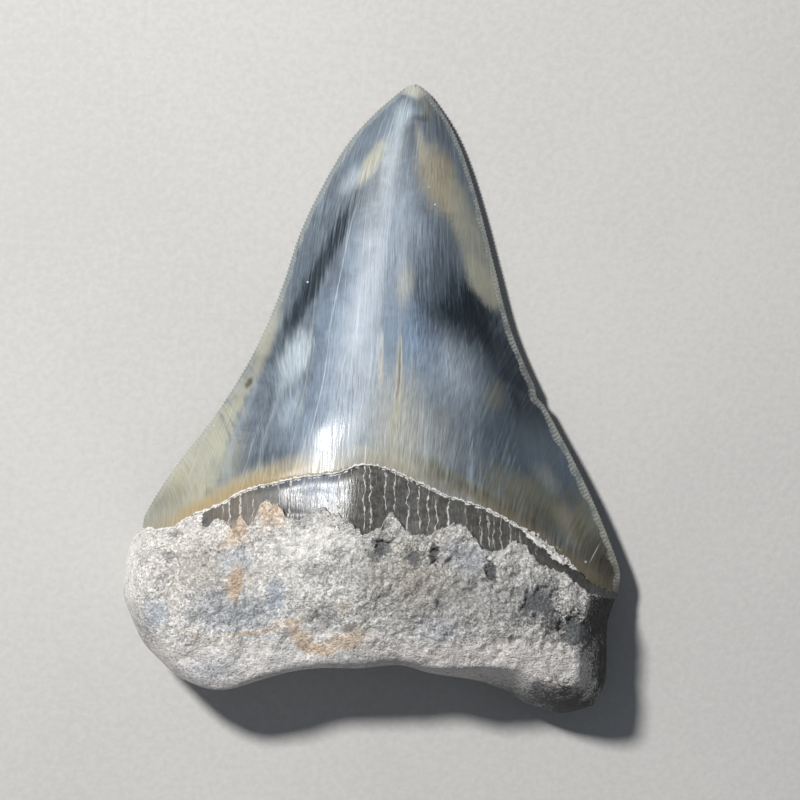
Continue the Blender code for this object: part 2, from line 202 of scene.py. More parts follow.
def curveThrough(x, points):
    # height of a smooth curve through points sorted by x
    xs, ys = np.array(points).T
    order = np.arange(len(xs))
    before, after = np.maximum(order - 1, 0), np.minimum(order + 1, len(xs) - 1)
    slopes = (ys[after] - ys[before]) / (xs[after] - xs[before])
    i = np.clip(np.searchsorted(xs, x, side="left") - 1, 0, len(xs) - 2)
    step = xs[i + 1] - xs[i]
    f = np.clip((x - xs[i]) / step, 0.0, 1.0)
    return ((1 + 2 * f) * (1 - f) ** 2 * ys[i] + f * (1 - f) ** 2 * step * slopes[i]
            + f * f * (3 - 2 * f) * ys[i + 1] + f * f * (f - 1) * step * slopes[i + 1])


def stepLengths(points):
    return np.hypot(*np.diff(np.asarray(points), axis=0).T)


def evenPath(points, count):
    # count + 1 evenly spaced points on a smooth path through the given points
    chord = np.r_[0, np.cumsum(stepLengths(points))]
    at = np.linspace(0, chord[-1], 40 * len(points) + 1)
    dense = np.stack([curveThrough(at, [(c, p[k]) for c, p in zip(chord, points)]) for k in (0, 1)], axis=1)
    length = np.r_[0, np.cumsum(stepLengths(dense))]
    want = np.linspace(0, length[-1], count + 1)
    return np.stack([np.interp(want, length, dense[:, k]) for k in (0, 1)], axis=1)


def ease(value, start, end):
    f = np.clip((value - start) / (end - start), 0.0, 1.0)
    return f * f * (3 - 2 * f)


# smooth noise that makes things uneven: size in mm, height and layer
waves = {
    "denticles": [(1.3, 0.35, 3.0)],
    "enamelEdge": [(1.3, 0.22, 21.0)],
    "enamelGrit": [(0.6, 0.12, 5.0)],
    "crustEdge": [(1.5, 0.6, 9.0), (0.65, 0.45, 13.0), (0.35, 0.25, 17.0)],
    "lumps": [(5.5, 1.0, 7.0), (5.5 / 2.3, 0.5, 16.1)],
    "fray": [(0.9, 0.45, 71.0), (2.1, 0.35, 73.0)],
    "crumble": [(3.8, 1.0, 79.0), (1.5, 0.55, 83.0), (0.6, 0.25, 89.0)],
    "knobs": [(2.3, 0.4, 31.0)],
    "grit": [(1.0, 0.38, 37.0), (0.55, 0.19, 41.0)],
    "ridgeRun": [(0.9, 0.5, 61.0)],
    "ridgeGrit": [(0.5, 0.5, 67.0)],
}


def waveAt(name, x, y, side=1, shift=0):
    # the waves of one name added up, one value a point
    total = np.zeros(len(x))
    for size, high, layer in waves[name]:
        deep = layer * side + shift
        total += high * np.array([noise.noise((a / size, b / size, deep)) for a, b in zip(x, y)])
    return total


def outward(path, side):
    along = np.gradient(path, axis=0)
    along /= np.linalg.norm(along, axis=1)[:, None]
    return np.stack([-along[:, 1], along[:, 0]], axis=1) * side


def cuttingEdge(points, side):
    # the smooth edge, and the same with its denticles
    pitch, parts = tooth["serrationPitch"], mesh["pointsPerDenticle"]
    teeth = round(stepLengths(points).sum() / pitch)
    path = evenPath(points, teeth * parts)
    k = np.arange(len(path))
    phase = (k % parts) / parts
    wave = 2 * np.sin(math.pi * phase) ** tooth["serrationShape"] - 1
    uneven = 1 + waveAt("denticles", *path.T, side)
    fade = np.minimum(1, np.minimum(k, k[::-1]) / parts * pitch / tooth["serrationFade"])
    near = np.hypot(*(path - tooth["notchAt"]).T) / tooth["notchHalfLength"]
    notch = tooth["notchDepth"] * np.clip(1 - near, 0, 1)
    away = outward(path, side)
    shift = tooth["serrationDepth"] / 2 * wave * fade * uneven - notch
    return path - away * notch[:, None], path + away * shift[:, None], away


def sideRim(crown, root, side):
    # rim points from tip to base corner, each with its row number
    smooth, edge, away = cuttingEdge(crown, side)
    flank = evenPath(root, round(stepLengths(root).sum() / mesh["crust"]))
    down = np.r_[0, np.cumsum(stepLengths(flank))]
    rows = np.r_[np.linspace(0, 1, len(edge)),
                 np.interp(down[1:], [0, tooth["bareFlank"], down[-1]], [1, 2, 3])]
    return {"crown": smooth, "away": away, "line": np.r_[smooth, flank[1:]],
            "rim": np.r_[edge, flank[1:]], "rows": rows}


rims = [sideRim(tooth["leftCrown"], tooth["leftRoot"], -1),
        sideRim(tooth["rightCrown"], tooth["rightRoot"], 1)]
baseX = np.arange(tooth["base"][0][0], tooth["base"][-1][0], mesh["crust"])[1:]
baseRim = np.stack([baseX, curveThrough(baseX, tooth["base"])], axis=1)
# once round, from the tip down the left side, along the base and up the right side
outline = np.r_[rims[0]["rim"], baseRim, rims[1]["rim"][:0:-1]]
outlineRows = np.r_[rims[0]["rows"], np.full(len(baseRim), 3.0), rims[1]["rows"][:0:-1]]
rimParts = 3
rimTree = kdtree.KDTree(len(outline) * rimParts)
for k in range(len(outline)):
    for part in range(rimParts):
        point = outline[k - 1] + (outline[k] - outline[k - 1]) * part / rimParts
        rimTree.insert((*point, 0), k * rimParts + part)
rimTree.balance()


def rimDistance(x, y):
    return np.array([rimTree.find((a, b, 0))[2] for a, b in zip(x, y)])


def labialEnamelEdge(x):
    (start, high), (end, low) = tooth["enamelEdge"][0], tooth["enamelEdge"][-1]
    f = (x - start) / (end - start)
    return high + (low - high) * f + tooth["labialArch"] * (1 - (2 * f - 1) ** 2)


def makeBorders(labial):
    # the enamel's lower edge and the crust's ragged upper edge, as points close together along the tooth
    x = np.arange(-mesh["borderSpan"], mesh["borderSpan"], mesh["borderStep"])
    level = x * 0
    smooth = labialEnamelEdge(x) if labial else curveThrough(x, tooth["enamelEdge"])
    enamel = smooth + waveAt("enamelEdge", x, level, shift=labial) + waveAt("enamelGrit", x, level)
    ragged = smooth - tooth["labialBand"] if labial else curveThrough(x, tooth["crustEdge"])
    ragged = ragged + waveAt("crustEdge", x, level, shift=labial)
    return {"x": x, "enamel": enamel, "crust": np.minimum(ragged, enamel - tooth["leastBand"])}


borders = [makeBorders(0), makeBorders(1)]


def enamelEdge(x, labial):
    return np.interp(x, borders[labial]["x"], borders[labial]["enamel"])


def crustEdge(x, labial):
    return np.interp(x, borders[labial]["x"], borders[labial]["crust"])


def rowHeight(row, s, labial):
    # Y of a row at s, by its ends and its bow
    ends = [np.stack([np.interp(row, side["rows"], side["line"][:, k]) for k in (0, 1)]) for side in rims]
    f = (s + 1) / 2

    def bow(edge):
        at = edge[0][0] + (edge[-1][0] - edge[0][0]) * f
        return curveThrough(at, edge) - (edge[0][1] + (edge[-1][1] - edge[0][1]) * f)

    if labial:
        enamel = tooth["labialArch"] * (1 - s * s)
        crust = enamel - tooth["labialBandBow"] * (1 - s * s)
    else:
        enamel, crust = bow(tooth["enamelEdge"]), bow(tooth["bandFoot"])
    crown = enamel * np.minimum(row, 1) ** 1.5
    bare = (crust - enamel) * np.clip(row - 1, 0, 1)
    root = (bow(tooth["base"]) - crust) * np.clip(row - 2, 0, 1)
    return ends[0][1] + (ends[1][1] - ends[0][1]) * f + crown + bare + root


def rowAndSide(x, y, labial):
    # the row that passes through each point, and the point's place across it
    low, high = np.zeros(len(x)), np.full(len(x), 3.0)
    for _ in range(mesh["halvings"]):
        row = (low + high) / 2
        left, right = (np.interp(row, side["rows"], side["line"][:, 0]) for side in rims)
        raw = 2 * (x - left) / (right - left) - 1
        under = y < rowHeight(row, np.clip(raw, -1, 1), labial)
        low, high = np.where(under, row, low), np.where(under, high, row)
    return row, raw


def crownSection(s, section, crest=0.0):
    # height of a crown section, from 0 on the rims to 1 on its crest
    off = (s - crest) / np.where(s > crest, 1 - crest, 1 + crest)
    outer, inner = section
    return np.maximum(0.0, 1 - np.abs(off) ** outer) ** inner


def borderPowers(bevel):
    return (a + (b - a) * bevel for a, b in zip(tooth["roundBorder"], tooth["bevelBorder"]))


def border(reach, x, widths, bevel):
    # height of the root, from 0 on its outline to 1 past its border
    outer, inner = borderPowers(bevel)
    return (1 - (1 - np.minimum(reach / curveThrough(x, widths), 1.0)) ** outer) ** inner


def baseLift(x, row):
    return curveThrough(x, tooth["baseLift"]) * ease(row, tooth["liftFrom"], 3.0)


def hollowDepth(x, y):
    # round hollows with frayed edges, and ragged ones where the crust on the right has crumbled away
    deep = np.zeros(len(x))
    frayed = waveAt("fray", x, y)
    for px, py, radius, depth in tooth["pits"]:
        near = np.hypot(x - px, y - py) / radius + frayed
        deep = np.maximum(deep, depth * ease(near, *tooth["pitEdge"]))
    least = tooth["crumbleElsewhere"]
    where = least + (1 - least) * ease(x, *tooth["crumbleX"]) * ease(y, *tooth["crumbleY"])
    return np.maximum(deep, tooth["crumbleDepth"] * where * ease(waveAt("crumble", x, y), 0.12, 0.8))


def roughness(x, y):
    # how rough the crust is; at the lower left it is worn smoother
    right = ease(x, *tooth["roughX"]) * ease(y, *tooth["roughY"])
    least = tooth["roughElsewhere"]
    return least + (1 - least) * np.maximum(right, ease(y, *tooth["roughEdge"]) * 0.75)


def fineRelief(x, y, side):
    # knobs and rounded crumbs of the mineral crust, with creases between the crumbs
    size, high, layer = tooth["crumbs"]
    knobs = waveAt("knobs", x, y, side)
    creases = [noise.voronoi(((a + k) / size, b / size, layer * side))[0][0] for a, b, k in zip(x, y, knobs)]
    return knobs + waveAt("grit", x, y, side) + high * (1 - 1.5 * np.array(creases)) - 0.08


def lingualHeight(x, y, row, s, reach, zone):
    share = ease(curveThrough(x, tooth["enamelEdge"]) - y, -tooth["rootBlend"], tooth["rootBlend"])
    edge = border(reach, x, tooth["lingualBorder"], ease(x, *tooth["bevel"]))
    crown = crownSection(s, tooth["lingualSection"], curveThrough(row, tooth["ridge"]))
    shape = crown * (1 - share) + edge * (1 - tooth["lobeFall"] * s * s) * share
    z = curveThrough(row, tooth["rimHeight"]) + curveThrough(row, tooth["lingualRise"]) * shape
    z = z + baseLift(x, row) * (1 - edge) - tooth["enamelStep"] * edge * (zone > 0)
    cx, cy, halfWide, halfLong, high = tooth["bandSwell"]
    z = z + high * np.exp(-((x - cx) / halfWide) ** 2 - ((y - cy) / halfLong) ** 2)
    crust = zone == 2
    x, y = x[crust], y[crust]
    thick = (tooth["crustThickness"] + tooth["lumpHeight"] * waveAt("lumps", x, y) - hollowDepth(x, y)
             + roughness(x, y) * fineRelief(x, y, 1)
             + tooth["crustLip"] * np.exp(-(crustEdge(x, 0) - y) / tooth["lipReach"]))
    z[crust] += np.maximum(thick, tooth["leastCrust"]) * edge[crust]
    return z


def labialHeight(x, y, row, s, reach, zone):
    share = ease(labialEnamelEdge(x) - y, -tooth["rootBlend"], tooth["rootBlend"])
    edge = border(reach, x, tooth["labialBorder"], 0.0)
    shape = crownSection(s, tooth["labialSection"]) * (1 - share) + edge * share
    z = curveThrough(row, tooth["rimHeight"]) - curveThrough(row, tooth["labialDrop"]) * shape
    z = z + baseLift(x, row) * (1 - edge) + tooth["enamelStep"] * edge * (zone > 0)
    deep, halfWide = tooth["labialHollow"]
    z = z + deep * share * np.exp(-(s / halfWide) ** 2) * edge
    z = z - share * edge * tooth["lumpHeight"] * (tooth["labialLumps"] + waveAt("lumps", x, y, -1))
    crust = zone == 2
    z[crust] -= tooth["labialRelief"] * fineRelief(x[crust], y[crust], -1) * edge[crust]
    # worn flat where it touches the ground
    return np.maximum(z, 0.0)


# the pale mineral ridge that lines the enamel's lower edge
ridge = {
    "feet": (0.26, 0.02, -0.3),
    "height": 0.12,
    "swellAt": (31.6, 5.2),
    "swellWidth": 3.2,
    "swellHeight": 0.65,
    "endsAt": 37.0,
    "rimFade": (0.2, 1.5),
}


def ridgeWidth(x):
    centre, half = ridge["swellAt"]
    return 1 + (ridge["swellWidth"] - 1) * ease(np.abs(x - centre) / half, 1.0, 0.5)


def lattice(cell, rng):
    # triangular grid over the whole tooth, slightly shaken
    low, high = outline.min(axis=0), outline.max(axis=0)
    ys = np.arange(low[1], high[1], cell * math.sqrt(3) / 2)
    xs = np.arange(low[0], high[0], cell)
    grid = np.array([(x + cell / 2 * (k % 2), y) for k, y in enumerate(ys) for x in xs])
    return grid + rng.uniform(-mesh["shake"], mesh["shake"], grid.shape) * cell


def insidePoints(labial):
    # points between the borders, each zone as fine as it needs, with its zone number
    rng = np.random.default_rng(mesh["seed"] + labial)
    under, over = (share * mesh["ledgeWidth"] for share in mesh["ledgeClear"])
    upper, lower = mesh["ridgeClear"]
    cells = [("crust", 2), ("bourlette", 1), ("enamelFoot", 0), ("crown", 0)]
    if labial:
        cells = [("labialRoot", 2), ("enamelFoot", 1), ("labialCrown", 0)]
    found, zones = [], []
    for kind, zone in cells:
        cell = mesh[kind]
        p = lattice(cell, rng)
        x, y = p.T
        above, ledge = y - enamelEdge(x, labial), y - crustEdge(x, labial)
        if zone == 2:
            keep = ledge < -under
        elif zone == 1:
            keep = (ledge > over) & (above < -ridge["feet"][-1] * ridgeWidth(x) - lower)
        else:
            keep = above > ridge["feet"][0] * ridgeWidth(x) + upper
            if not labial:
                keep &= (above < mesh["footHeight"]) == (kind == "enamelFoot")
        p = p[keep]
        row, s = rowAndSide(p[:, 0], p[:, 1], labial)
        first, end = mesh["rows"]
        p = p[(np.abs(s) < 1) & (row > first) & (row < end)]
        reach = rimDistance(p[:, 0], p[:, 1])
        last = np.minimum(borderInset(mesh["borderRings"][-1], p[:, 0], labial), mesh["deepestRing"])
        p = p[reach > (mesh["rimClear"] if zone == 0 else last + cell / 2)]
        found.append(p)
        zones.append(np.full(len(p), zone))
    return np.concatenate(found), np.concatenate(zones)


def ridgeHeight(x, above, labial):
    # how far the ridge stands up at this distance over or under the edge
    high, mid, low = ridge["feet"]
    wide = 1.0 if labial else ridgeWidth(x)
    shape = np.interp(above / wide, [low, mid, high], [0.0, 1.0, 0.0])
    swell = ridge["swellHeight"] * (wide - 1) / (ridge["swellWidth"] - 1)
    lively = 1 + waveAt("ridgeRun", x, x * 0) + waveAt("ridgeGrit", x, above)
    ends = 1 if labial else ease(x, ridge["endsAt"] + 1.2, ridge["endsAt"])
    return shape * (ridge["height"] + swell) * lively * ends


def borderLines(labial):
    # lines of points along the mineral ridge and along both sides of the crust's ledge
    line = borders[labial]
    x, enamel, crust = line["x"], line["enamel"], line["crust"]
    wide = 1.0 if labial else ridgeWidth(x)
    high, mid, low = ridge["feet"]
    foot = np.maximum(enamel + low * wide, crust + 0.12)
    rows = [(enamel + high * wide, 0), (enamel + mid * wide, 0), (foot, 1), (crust, 1),
            (crust - mesh["ledgeWidth"] * 1.3, 2)]
    return [(np.stack([x, y], axis=1), zone) for y, zone in rows]


def borderInset(level, x, labial):
    # distance from the outline at which the root's border has risen to this level
    outer, inner = borderPowers(x * 0 if labial else ease(x, *tooth["bevel"]))
    widths = tooth["labialBorder"] if labial else tooth["lingualBorder"]
    return (1 - (1 - level ** (1 / inner)) ** (1 / outer)) * curveThrough(x, widths)


def rootRings(labial):
    # rows of points that follow the root's outline where its border is steep
    root = np.flatnonzero(outlineRows > 1.05)
    path = outline[root]
    away = outward(path, -1)
    rings = []
    for level in mesh["borderRings"]:
        inset = borderInset(level, path[:, 0], labial)
        ring = path - away * inset[:, None]
        clear = rimDistance(ring[:, 0], ring[:, 1]) > inset * 0.8
        if level > 0.5:
            clear &= np.arange(len(ring)) % 2 == 0
        clear &= ring[:, 1] < crustEdge(ring[:, 0], labial) - mesh["borderClear"]
        rings.append(ring[clear & (inset < mesh["deepestRing"])])
    return np.concatenate(rings)


def rimBands(labial):
    # two rows of points inside the cutting edge, where it is ground to its bevel
    bands = []
    for side in rims:
        for inset, every in mesh["rimRows"]:
            ring = (side["crown"] - side["away"] * inset)[2:-2:every]
            clear = rimDistance(ring[:, 0], ring[:, 1]) > inset * 0.55
            bands.append(ring[clear & (ring[:, 1] > enamelEdge(ring[:, 0], labial) + mesh["borderClear"])])
    # one point of its own right under the tip keeps the two faces apart there
    bands.append([outline[[-1, 0, 1]].mean(axis=0)])
    return np.concatenate(bands)


def insideOutline(x, y):
    # true for the points inside the tooth's outline
    ax, ay = outline.T
    bx, by = np.roll(outline, -1, axis=0).T
    rise = np.where(by == ay, 1.0, by - ay)
    crosses = (ay > y[:, None]) != (by > y[:, None])
    right = x[:, None] < ax + (y[:, None] - ay) * (bx - ax) / rise
    return (crosses & right).sum(axis=1) % 2 == 1


def meshFace(labial):
    points, zones = [outline], [np.zeros(len(outline), int)]
    count = len(outline)
    edges = []
    for line, zone in borderLines(labial):
        _, s = rowAndSide(line[:, 0], line[:, 1], labial)
        line = line[(np.abs(s) < 1) & (rimDistance(line[:, 0], line[:, 1]) > mesh["lineClear"])]
        points.append(line)
        zones.append(np.full(len(line), zone))
        edges += [(count + k, count + k + 1) for k in range(len(line) - 1)]
        count += len(line)
    bands = rimBands(labial)
    lattices, latticeZones = insidePoints(labial)
    rings = rootRings(labial)
    points = np.concatenate(points + [bands, rings, lattices])
    zones = np.concatenate(zones + [np.zeros(len(bands), int), np.full(len(rings), 2), latticeZones])
    made = delaunay_2d_cdt([Vector(p) for p in points], edges, [range(len(outline))], 1, 1e-5, True)
    xy = np.array([v[:] for v in made[0]])
    source = np.array([ids[0] if ids else -1 for ids in made[3]])
    faces = np.array(made[2])
    # the hollows between denticles are filled too, so those triangles go
    onRim = (source[faces] < len(outline)).all(axis=1)
    middle = xy[faces[onRim]].mean(axis=1)
    keep = np.ones(len(faces), bool)
    keep[onRim] = insideOutline(*middle.T)
    zone = np.where(source >= 0, zones[source], 0)
    x, y = xy.T
    row, s = rowAndSide(x, y, labial)
    s = np.clip(s, -1, 1)
    reach = rimDistance(x, y)
    onRim = (source >= 0) & (source < len(outline))
    reach[onRim] = 0.0
    row[onRim] = outlineRows[source[onRim]]
    height = (labialHeight if labial else lingualHeight)(x, y, row, s, reach, zone)
    up = ridgeHeight(x, y - enamelEdge(x, labial), labial) * ease(reach, *ridge["rimFade"])
    height = height - up if labial else height + up
    height[onRim] = curveThrough(row[onRim], tooth["rimHeight"]) + baseLift(x[onRim], row[onRim])
    return {"x": x, "y": y, "z": height, "faces": faces[keep], "row": row, "s": s,
            "reach": reach, "zone": zone, "rim": np.where(onRim, source, -1)}


# cracks across the bare band, filled with pale mineral: place across, upper and lower end, brightness
cracks = {
    "lean": 0.075,
    # how far a crack fades past its upper and its lower end
    "fades": (0.3, 0.5),
    "veins": [(-28.2, -23.2, -25.2, 0.6), (-27.1, -22.2, -26.8, 1.0), (-24.9, -20.5, -24.2, 0.7),
              (-22.6, -21.5, -25.7, 0.7), (-18.0, -18.8, -22.4, 0.4), (-16.0, -17.7, -23.2, 0.6),
              (-13.7, -17.2, -23.4, 0.7), (-11.3, -16.5, -22.1, 0.7), (-9.3, -16.0, -20.4, 0.5),
              (-7.4, -15.2, -21.5, 0.6), (-4.9, -14.2, -16.9, 0.7), (-2.8, -13.6, -25.4, 1.0),
              (-1.7, -14.5, -25.9, 0.8), (1.1, -15.0, -21.3, 0.8), (2.7, -14.4, -21.3, 0.9),
              (5.2, -15.5, -24.8, 0.9), (7.3, -17.2, -24.3, 0.8), (9.1, -17.8, -24.6, 1.0),
              (10.6, -19.3, -24.5, 0.7), (12.9, -19.2, -24.3, 1.0), (16.1, -20.3, -22.9, 0.3),
              (18.9, -20.8, -27.2, 0.5), (20.4, -21.6, -26.8, 0.5), (21.3, -21.6, -27.1, 0.5),
              (22.7, -21.6, -27.2, 0.5), (24.2, -22.3, -26.9, 0.6), (26.3, -24.0, -25.8, 0.5),
              (29.5, -25.2, -28.3, 0.6)],
}


def crackField(x, y):
    # vein number counted from the left (whole on a vein), its brightness, and the veins' spacing in mm
    at, start, end, bright = np.array(cracks["veins"]).T
    at = at + cracks["lean"] * (start - enamelEdge(at, 0))
    over = x + cracks["lean"] * (y - enamelEdge(x, 0))
    count = np.interp(over, at, np.arange(len(at)), left=-0.5, right=len(at) - 0.5)
    nearest = np.clip(np.round(count).astype(int), 0, len(at) - 1)
    spacing = np.interp(over, (at[1:] + at[:-1]) / 2, np.diff(at))
    start, end = start[nearest], end[nearest]
    above, below = cracks["fades"]
    return np.c_[count, bright[nearest] * ease(y, start + above, start) * ease(y, end - below, end), spacing]


# the enamel's fibres rise upright from its lower edge and fan out towards the cutting edges
fibres = {
    "leftLean": 36.0,
    "leftPower": 4.0,
    "rightLean": 26.0,
    "rightPower": 1.3,
    "bendWithin": 9.0,
    "straightAt": (60.0, 5.0),
    "step": 1.5,
    "steps": 60,
    # across the lines of growth: the half width that counts in full, and the power by which they narrow
    "fullHalfWidth": 44,
    "narrowing": 0.6,
}


def growthField(face):
    # the lines of growth narrow towards the tip; across and along them, and distance to the cutting edge
    left, right = (np.interp(face["row"], rim["rows"], rim["line"][:, 0]) for rim in rims)
    half = np.maximum((right - left) / 2, 0.05)
    full = fibres["fullHalfWidth"]
    across = face["s"] * full * (half / full) ** fibres["narrowing"]
    return np.c_[across, face["y"], face["reach"]]


def fibreFoot(x, y, labial):
    # follows each fibre down to the enamel's edge: its x there, then this point's own y and x
    startX, startY = x, y
    for _ in range(fibres["steps"]):
        above = y - enamelEdge(x, labial)
        left, right = (np.interp(y, side["crown"][::-1, 1], side["crown"][::-1, 0]) for side in rims)
        s = np.clip((2 * x - left - right) / np.maximum(right - left, 0.1), -1, 1)
        lean = np.where(s < 0, -fibres["leftLean"] * np.abs(s) ** fibres["leftPower"],
                        fibres["rightLean"] * np.abs(s) ** fibres["rightPower"])
        lean = lean * ease(above, 0.0, fibres["bendWithin"]) * ease(y, *fibres["straightAt"])
        step = np.clip(above, 0.0, fibres["step"])
        x, y = x - step * np.tan(np.radians(lean)), y - step
    return np.c_[x, startY, startX]


def denticleCount(x, y):
    # number of the nearest denticle along the edge
    near = np.array([rimTree.find((a, b, 0))[1] for a, b in zip(x, y)])
    return near / rimParts / mesh["pointsPerDenticle"]


# the sheet that both faces lie on, in mm: its width, its margins and where the turned face starts
bakeSheet = {"wide": 160.0, "left": 48.0, "below": 60.0, "turned": 64.0}


def bakeLayout(place, labial):
    # the lower face lies beside the upper one, turned over
    x, y = place[:, 0], place[:, 1]
    if labial:
        x, y = bakeSheet["turned"] - x, -y
    return np.c_[x + bakeSheet["left"], y + bakeSheet["below"]] / bakeSheet["wide"]


def faceFields(face, labial):
    # what the finishes need to know at each point of a face
    x, y = face["x"], face["y"]
    upward = np.full(len(x), 1.0 - 2 * labial)
    return {"growth": growthField(face), "fibres": fibreFoot(x, y, labial), "cracks": crackField(x, y),
            "borders": np.c_[enamelEdge(x, labial) - y, crustEdge(x, labial) - y, upward],
            "denticle": denticleCount(x, y),
            "hollow": hollowDepth(x, y) * (face["zone"] == 2) * (1 - labial)}


def finishNumbers(face, labial):
    # the finish of each triangle: 0 enamel, 1 bare band, 2 crust
    x, y = (face[k][face["faces"]].mean(axis=1) for k in ("x", "y"))
    crust = y < crustEdge(x, labial)
    bare = ~crust & (y < enamelEdge(x, labial))
    crust |= bare & (x < tooth["bandFrom"])
    return np.where(crust, 2, np.where(bare, 2 if labial else 1, 0))


def buildTooth():
    faces = [meshFace(0), meshFace(1)]
    low, high = (np.array(corner) / mm for corner in cadBox)
    shift = ((low + high)[:2] - (outline.min(axis=0) + outline.max(axis=0))) / 2
    count = len(faces[0]["x"])
    onTop = {r: k for k, r in enumerate(faces[0]["rim"]) if r >= 0}
    # the lower face shares its rim with the upper one
    number, own = np.empty(len(faces[1]["x"]), int), []
    for k, r in enumerate(faces[1]["rim"]):
        if r >= 0:
            number[k] = onTop[r]
        else:
            number[k] = count + len(own)
            own.append(k)
    places = [np.c_[face["x"] + shift[0], face["y"] + shift[1], face["z"]] for face in faces]
    places = np.clip(np.concatenate([places[0], places[1][own]]), low, high)
    triangles = np.concatenate([faces[0]["faces"], number[faces[1]["faces"][:, ::-1]]])
    body = bpy.data.meshes.new("fossilTooth")
    body.from_pydata((places * mm).tolist(), [], triangles.tolist())
    finish = np.concatenate([finishNumbers(face, labial) for labial, face in enumerate(faces)])
    body.polygons.foreach_set("material_index", finish.astype(np.int32))
    body.polygons.foreach_set("use_smooth", np.ones(len(triangles), bool))
    upper, lower = (faceFields(face, labial) for labial, face in enumerate(faces))
    for name in upper:
        values = np.concatenate([upper[name], lower[name][own]]).astype(np.float32)
        kind, slot = ("FLOAT_VECTOR", "vector") if values.ndim == 2 else ("FLOAT", "value")
        body.attributes.new(name, kind, "POINT").data.foreach_set(slot, values.ravel())
    half = len(faces[0]["faces"])
    flat = [bakeLayout(places[part].reshape(-1, 3), labial)
            for labial, part in enumerate((triangles[:half], triangles[half:]))]
    sheet = body.uv_layers.new(name="OFBake")
    sheet.data.foreach_set("uv", np.concatenate(flat).astype(np.float32).ravel())
    body.set_sharp_from_angle(angle=math.radians(50))
    body.validate()
    body.update()
    piece = bpy.data.objects.new("fossilTooth", body)
    bpy.context.scene.collection.objects.link(piece)
    print("tooth mesh:", len(places), "points,", len(triangles), "triangles")
    return piece


class Field:
    # a value in a shader that sums and products are written with, like a number
    def __init__(self, tree, socket):
        self.tree, self.socket = tree, socket

    def __add__(self, other):
        return maths("ADD", self, other)

    def __sub__(self, other):
        return maths("SUBTRACT", self, other)

    def __rsub__(self, other):
        return maths("SUBTRACT", other, self)

    def __mul__(self, other):
        return maths("MULTIPLY", self, other)

    def __truediv__(self, other):
        return maths("DIVIDE", self, other)

    def __abs__(self):
        return maths("ABSOLUTE", self)


def node(tree, kind, inputs=None, **settings):
    made = tree.nodes.new(kind)
    for name, value in settings.items():
        setattr(made, name, value)
    for socket, value in (inputs or {}).items():
        if isinstance(value, Field):
            tree.links.new(value.socket, made.inputs[socket])
        else:
            made.inputs[socket].default_value = value
    return made


def results(kind, inputs, *names, **settings):
    # the named values that a new node makes, in the tree of what goes in
    tree = next(value.tree for value in inputs.values() if isinstance(value, Field))
    made = node(tree, kind, inputs, **settings)
    return [Field(tree, made.outputs[name]) for name in names]


def result(kind, inputs, name=0, **settings):
    return results(kind, inputs, name, **settings)[0]


def maths(operation, a, b=0.0, clamp=False):
    return result("ShaderNodeMath", {0: a, 1: b}, operation=operation, use_clamp=clamp)


def vectorMaths(operation, a, b, c=(0, 0, 0)):
    return result("ShaderNodeVectorMath", {0: a, 1: b, 2: c}, operation=operation)


def scaled(vector, amount):
    return result("ShaderNodeVectorMath", {0: vector, "Scale": amount}, operation="SCALE")


def parts(vector):
    return results("ShaderNodeSeparateXYZ", {0: vector}, 0, 1, 2)


def together(x, y, z=0.0):
    return result("ShaderNodeCombineXYZ", {0: x, 1: y, 2: z})


def spread(value, low, high, start=0.0, end=1.0, kind="SMOOTHSTEP"):
    # value from low..high made into start..end, held at both ends
    return result("ShaderNodeMapRange", {"Value": value, "From Min": low, "From Max": high,
                                         "To Min": start, "To Max": end}, interpolation_type=kind)


def blendColour(amount, under, over):
    return result("ShaderNodeMix", {0: amount, 6: under, 7: over}, 2, data_type="RGBA")


def blendValue(amount, under, over):
    return result("ShaderNodeMix", {0: amount, 2: under, 3: over})


def cloud(place, scale, detail=2.0, rough=0.5, warp=0.0, name=0):
    # soft noise around 0.5; place in mm and scale in cycles a mm
    return result("ShaderNodeTexNoise", {"Vector": place, "Scale": scale, "Detail": detail,
                                         "Roughness": rough, "Distortion": warp}, name)


def toothPlace(tree, deep):
    # place in mm, or with deep at 0 the place seen from above
    where = Field(tree, node(tree, "ShaderNodeTexCoord").outputs["Object"])
    return result("ShaderNodeMapping", {"Vector": where, "Scale": (1 / mm, 1 / mm, deep / mm)})


def attribute(tree, name, kind="Vector"):
    return Field(tree, node(tree, "ShaderNodeAttribute", attribute_name=name).outputs[kind])


def newMaterial(name):
    material = bpy.data.materials.new(name)
    material.use_nodes = True
    material.node_tree.nodes.clear()
    return material, material.node_tree


def dress(material, colour, roughness, height, depth, shine):
    # depth in mm is how deep the relief in height is; shine holds constants of the shader
    bump = result("ShaderNodeBump", {"Strength": 1.0, "Distance": depth * mm, "Height": height})
    surface = result("ShaderNodeBsdfPrincipled", {"Base Color": colour, "Roughness": roughness,
                                                  "Normal": bump, **shine})
    node(material.node_tree, "ShaderNodeOutputMaterial", {"Surface": surface})
    return material


# effects that several finishes share, each in a node group of its own

def makeEffect(name, vectors, numbers, build):
    # build makes the group's outputs, by name, out of its inputs: vectors first, then numbers
    tree = bpy.data.node_groups.new(name, "ShaderNodeTree")
    for socket in vectors:
        tree.interface.new_socket(name=socket, in_out="INPUT", socket_type="NodeSocketVector")
    for socket in numbers:
        tree.interface.new_socket(name=socket, in_out="INPUT", socket_type="NodeSocketFloat")
    entry = node(tree, "NodeGroupInput")
    made = build(*[Field(tree, entry.outputs[socket]) for socket in vectors + numbers])
    for socket in made:
        tree.interface.new_socket(name=socket, in_out="OUTPUT", socket_type="NodeSocketFloat")
    node(tree, "NodeGroupOutput", made)
    return tree


